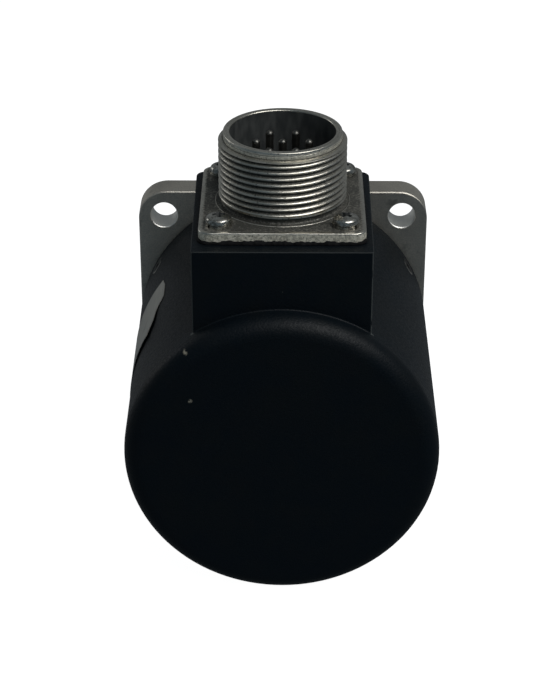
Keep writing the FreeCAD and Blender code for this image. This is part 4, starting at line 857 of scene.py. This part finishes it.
def build_screws():
    """Four pan-head screws with crossed recesses, each turned its own way."""
    shoulder, roundness, steps = 0.62, 0.62, 6
    crown = arc((HEAD_RADIUS - roundness, shoulder), roundness, 0, 62, steps)
    edge = crown[-1]
    for step in range(1, steps + 1):
        share = step / steps
        rise = (HEAD_HEIGHT - edge[1]) * (1 - (1 - share) ** 2)
        crown.append((edge[0] * (1 - share), edge[1] + rise))
    profile = [(0, -SCREW_REACH), (SCREW_THREAD - SCREW_POINT, -SCREW_REACH),
               (SCREW_THREAD, SCREW_POINT - SCREW_REACH), (SCREW_THREAD, 0),
               (HEAD_RADIUS - HEAD_EDGE, 0), (HEAD_RADIUS, HEAD_EDGE)]
    points, faces = lathe(profile + crown, 48)
    # The second material, the painted shade, goes on the recess cut into the head.
    screw = add_mesh("screw", points, faces, [MATERIALS["screw_plating"], SHADE_LINING])
    cut(screw, cross_cutters())
    turns = (0.12, 0.86, 0.35, 1.2)
    corners = [(-1, -1), (1, -1), (-1, 1), (1, 1)]
    places = [
        socket_place(side * SCREW_OFFSET, end * SCREW_OFFSET, HEAD_BASE, turn)
        for (side, end), turn in zip(corners, turns)
    ]
    item = repeated(screw, "receptacle_screws", places)
    return finish_piece(item, "screw_plating", "housing", "connector_screws")


def build_pins():
    """Seven round-nosed contacts with solder cups behind the insulator."""
    low, high = box_mm("connector_pins")
    end = low.z - SOCKET_BASE
    tip = high.z - SOCKET_BASE
    cup, cup_bore, cup_depth, body, edge = 1.3, 0.9, 4.0, 1.2, 0.1
    body_top, body_bottom = 4.0, end + 6.0
    profile = [(0, end + cup_depth), (cup_bore, end + cup_depth), (cup_bore, end + edge),
               (cup_bore + edge, end), (cup - edge, end), (cup, end + edge), (cup, body_bottom),
               (body, body_bottom + edge), (body, body_top - edge), (body - edge, body_top),
               (PIN_RADIUS, body_top)]
    nose = [(r, z) for r, z in arc((0, tip - PIN_RADIUS), PIN_RADIUS, 0, 84, 8)]
    points, faces = lathe(profile + nose + [(0, tip)], 28)
    pin = add_mesh("pin", points, faces, [MATERIALS["contact_metal"]])
    places = [socket_place()]
    for index in range(PIN_COUNT):
        angle = TAU * index / PIN_COUNT
        places.append(socket_place(PIN_CIRCLE * math.cos(angle), PIN_CIRCLE * math.sin(angle)))
    item = repeated(pin, "contact_pins", places)
    return finish_piece(item, "contact_metal", "housing", "connector_pins")


BEAD_RISE = 0.16
BEAD_EXTRA_RISE = 0.62
BEAD_REACH = 0.22
BEAD_EXTRA_REACH = 0.3
# How many waves go round, their phase and their size.
BEAD_WAVES = ((3, 0.7, 1.0), (7, 2.1, 0.7), (23, 0.4, 0.9), (41, 1.3, 0.9), (97, 0.0, 0.7))
BEAD_CALM = 6.0


def gasket_wave(angle):
    """How much rubber is squeezed out at an angle, from 0 to 1."""
    height = sum(size * math.sin(count * angle + phase) for count, phase, size in BEAD_WAVES)
    return min(1.0, max(0.0, 0.5 + height / BEAD_CALM))


def build_gasket():
    """Gasket with a bead of rubber squeezed out round the plate, holed for the barrel and the screws."""
    middle = (GASKET_LOW + GASKET_HIGH) / 2
    thick = GASKET_HIGH.z - GASKET_LOW.z
    columns, ring = 640, 8
    points, faces = [], []
    for column in range(columns):
        angle = TAU * column / columns
        wave = gasket_wave(angle)
        plate = square_reach(angle, SOCKET_HALF, PLATE_CORNER)
        rise = thick + BEAD_RISE + BEAD_EXTRA_RISE * wave
        out = plate + BEAD_REACH + BEAD_EXTRA_REACH * wave
        section = [(BARREL_BACK + 0.1, 0.0), (out - 0.1, 0.0), (out, 0.12), (out, rise * 0.5),
                   (plate + 0.16, rise), (plate + 0.02, rise - 0.05), (plate + 0.02, thick - 0.01),
                   (BARREL_BACK + 0.1, thick - 0.01)]
        points += [(reach * math.cos(angle), reach * math.sin(angle), height) for reach, height in section]
    for column in range(columns):
        here, after = column * ring, (column + 1) % columns * ring
        for row in range(ring):
            above = (row + 1) % ring
            faces.append((here + row, after + row, after + above, here + above))
    place = Matrix.Translation((middle.x, middle.y, GASKET_LOW.z))
    item = add_mesh("receptacle_gasket", points, faces, [MATERIALS["gasket_rubber"]], place)
    cut(item, drills(-1.0))
    return finish_piece(item, "gasket_rubber", "housing", "connector_gasket")


# --- nameplate -----------------------------------------------------------------------


LABEL_FRONT = -24.9
LABEL_REAR = -44.0
LABEL_TOP = -51.2
LABEL_CLIPPED_TOP = -60.0
LABEL_CLIP_START = -33.4
LABEL_BOTTOM = -149.5
LABEL_CLIP_BOW = 0.13
LABEL_CORNER_DROP = 1.5
LABEL_CORNER_RUN = 3.5
LABEL_THICKNESS = 0.12
LABEL_LIFT = 0.45
PEEL_RUN = 12.0
PEEL_SHARE = 0.26


def cover_radius(station):
    """Outside radius of the tapered cover at a station along the shaft."""
    share = (station - COVER_LOW.y) / (COVER_HIGH.y - COVER_LOW.y)
    return COVER_REAR_RADIUS + (COVER_FRONT_RADIUS - COVER_REAR_RADIUS) * share


def label_point(station, share, rise):
    """A point of the nameplate: share runs from its top edge to its bottom edge, rise is off the cover."""
    clip = max(0.0, (LABEL_CLIP_START - station) / (LABEL_CLIP_START - LABEL_REAR))
    clip += LABEL_CLIP_BOW * math.sin(TAU * clip)
    top = LABEL_TOP + (LABEL_CLIPPED_TOP - LABEL_TOP) * clip
    top -= LABEL_CORNER_DROP * ease(station, LABEL_FRONT - LABEL_CORNER_RUN, LABEL_FRONT)
    angle = math.radians(top + (LABEL_BOTTOM - top) * share)
    corner = ease(LABEL_REAR + PEEL_RUN - station, 0.0, PEEL_RUN) * ease(PEEL_SHARE - share, 0.0, PEEL_SHARE)
    radius = cover_radius(station) + 0.02 + rise + LABEL_LIFT * corner
    return radius * math.sin(angle), station, radius * math.cos(angle)


def build_label():
    """Thin satin plate wrapped round the cover's side, with its clipped corner peeling off."""
    stations, steps = 32, 72
    points, faces = [], []
    for rise in (0.0, LABEL_THICKNESS):
        for row in range(stations + 1):
            station = LABEL_FRONT + (LABEL_REAR - LABEL_FRONT) * row / stations
            points += [label_point(station, step / steps, rise) for step in range(steps + 1)]
    wide = steps + 1
    layer = wide * (stations + 1)
    for row in range(stations):
        for step in range(steps):
            near = row * wide + step
            faces.append((near, near + wide, near + wide + 1, near + 1))
            faces.append(tuple(layer + index for index in (near, near + 1, near + wide + 1, near + wide)))
    border = list(range(wide)) + [row * wide + steps for row in range(1, stations + 1)]
    border += [stations * wide + step for step in range(steps - 1, -1, -1)]
    border += [row * wide for row in range(stations - 1, 0, -1)]
    for here, after in zip(border, border[1:] + border[:1]):
        faces.append((here, after, layer + after, layer + here))
    item = add_mesh("side_nameplate", points, faces, [MATERIALS["label_film"]])
    return finish_piece(item, "label_film", "housing", "nameplate")


# --- stage, light and camera ---------------------------------------------------------


CAMERA_PLACE = (0.83, -398.7, 207.65)
CAMERA_YAW = -0.0071
CAMERA_PITCH = 0.502
CAMERA_LENS = 100.7
CAMERA_SENSOR = 36.0
STAGE_REACH = 4000.0
STAGE_SIDES = 64
DOME_DROP = 40.0
DOME_STEP = 6
FRONT_GLOW = (0.074, 0.098, 0.118, 1.0)
REAR_GLOW = (0.135, 0.147, 0.155, 1.0)


def place_camera():
    """The camera behind and above the encoder, level across."""
    level = math.cos(CAMERA_PITCH)
    ahead = Vector((math.sin(CAMERA_YAW) * level, math.cos(CAMERA_YAW) * level, -math.sin(CAMERA_PITCH)))
    data = bpy.data.cameras.new("camera")
    data.lens = CAMERA_LENS
    data.sensor_width = CAMERA_SENSOR
    camera = bpy.data.objects.new("camera", data)
    camera.location = Vector(CAMERA_PLACE) * MM
    camera.rotation_euler = ahead.to_track_quat("-Z", "Y").to_euler()
    bpy.context.scene.collection.objects.link(camera)
    bpy.context.scene.camera = camera


def area_light(name, place, target, size, power, colour=(1.0, 1.0, 1.0)):
    """A soft square light at a place, turned to a target, in metres."""
    data = bpy.data.lights.new(name, "AREA")
    data.shape = "RECTANGLE"
    data.size, data.size_y = size
    data.energy = power
    data.color = colour
    light = bpy.data.objects.new(name, data)
    light.location = place
    light.rotation_euler = (Vector(target) - Vector(place)).to_track_quat("-Z", "Y").to_euler()
    bpy.context.scene.collection.objects.link(light)


def stage_material(name, glow, albedo):
    """Plain pale stage surface that can be seen through from behind."""
    material = bpy.data.materials.new(name)
    material.use_nodes = True
    nodes, links = material.node_tree.nodes, material.node_tree.links
    surface = nodes["Principled BSDF"]
    surface.inputs["Base Color"].default_value = (albedo, albedo, albedo, 1.0)
    surface.inputs["Roughness"].default_value = 1.0
    surface.inputs["Specular IOR Level"].default_value = 0.0
    surface.inputs["Emission Color"].default_value = (1.0, 1.0, 1.0, 1.0)
    surface.inputs["Emission Strength"].default_value = glow
    clear = nodes.new("ShaderNodeBsdfTransparent")
    mixed = nodes.new("ShaderNodeMixShader")
    side = nodes.new("ShaderNodeNewGeometry")
    links.new(side.outputs["Backfacing"], mixed.inputs["Fac"])
    links.new(surface.outputs["BSDF"], mixed.inputs[1])
    links.new(clear.outputs["BSDF"], mixed.inputs[2])
    links.new(mixed.outputs["Shader"], nodes["Material Output"].inputs["Surface"])
    return material


def build_stage():
    """A wide pale floor under the encoder, and a pale dome round it."""
    floor_level = cad_box[0].z / MM
    floor_points, floor_faces = lathe([(0, floor_level), (STAGE_REACH, floor_level)], STAGE_SIDES)
    floor_faces = [face[::-1] for face in floor_faces]
    floor = add_mesh("floor", floor_points, floor_faces, [stage_material("pale_floor", 0.98, 0.3)])
    dome_profile = [(0, -STAGE_REACH - DOME_DROP)]
    dome_profile += arc((0, -DOME_DROP), STAGE_REACH, DOME_STEP - 90, 90 - DOME_STEP, 180 // DOME_STEP - 2)
    dome_profile += [(0, STAGE_REACH - DOME_DROP)]
    dome_points, dome_faces = lathe(dome_profile, STAGE_SIDES)
    dome_faces = [face[::-1] for face in dome_faces]
    dome = add_mesh("backdrop", dome_points, dome_faces, [stage_material("pale_backdrop", 1.02, 0.0)])
    for item in (floor, dome):
        item.visible_glossy = False
        item.visible_diffuse = False
        item.visible_transmission = False
        item.visible_shadow = False


def build_world():
    """Dim surroundings, darker and bluer in front, brighter behind."""
    world = bpy.data.worlds.new("surroundings")
    world.use_nodes = True
    bpy.context.scene.world = world
    nodes, links = world.node_tree.nodes, world.node_tree.links
    place = nodes.new("ShaderNodeTexCoord")
    split = nodes.new("ShaderNodeSeparateXYZ")
    links.new(place.outputs["Generated"], split.inputs[0])
    behind = nodes.new("ShaderNodeMapRange")
    behind.interpolation_type = "SMOOTHSTEP"
    for socket, value in zip(behind.inputs, (0.0, -0.6, 0.9, 0.0, 1.0)):
        socket.default_value = value
    links.new(split.outputs["Y"], behind.inputs["Value"])
    glow = nodes.new("ShaderNodeMix")
    glow.data_type = "RGBA"
    colours = [socket for socket in glow.inputs if socket.type == "RGBA"]
    colours[0].default_value = FRONT_GLOW
    colours[1].default_value = REAR_GLOW
    links.new(behind.outputs["Result"], glow.inputs["Factor"])
    glow_colour = next(socket for socket in glow.outputs if socket.type == "RGBA")
    surroundings = nodes["Background"]
    links.new(glow_colour, surroundings.inputs["Color"])
    surroundings.inputs["Strength"].default_value = 1.0


def build_lights():
    """A broad softbox over the right shoulder and a weaker one behind on the left."""
    target = (0.0, -0.03, 0.02)
    area_light("softbox", (0.30, -0.33, 0.60), target, (0.6, 0.5), 3.4)
    area_light("left_rear", (-0.85, 0.45, 0.25), target, (0.3, 0.5), 0.6)


# --- put together --------------------------------------------------------------------


SLOTS = {part["node"]: part["material_slot"] for part in frame["record"]["subparts"]}
for node_name, node_object in frame["nodes"].items():
    node_object.data.materials.clear()
    node_object.data.materials.append(MATERIALS[SLOTS[node_name]])

place_camera()
build_stage()
build_world()
build_lights()
build_shell()
build_screws()
build_pins()
build_gasket()
build_label()
bpy.context.scene.view_settings.view_transform = "Standard"
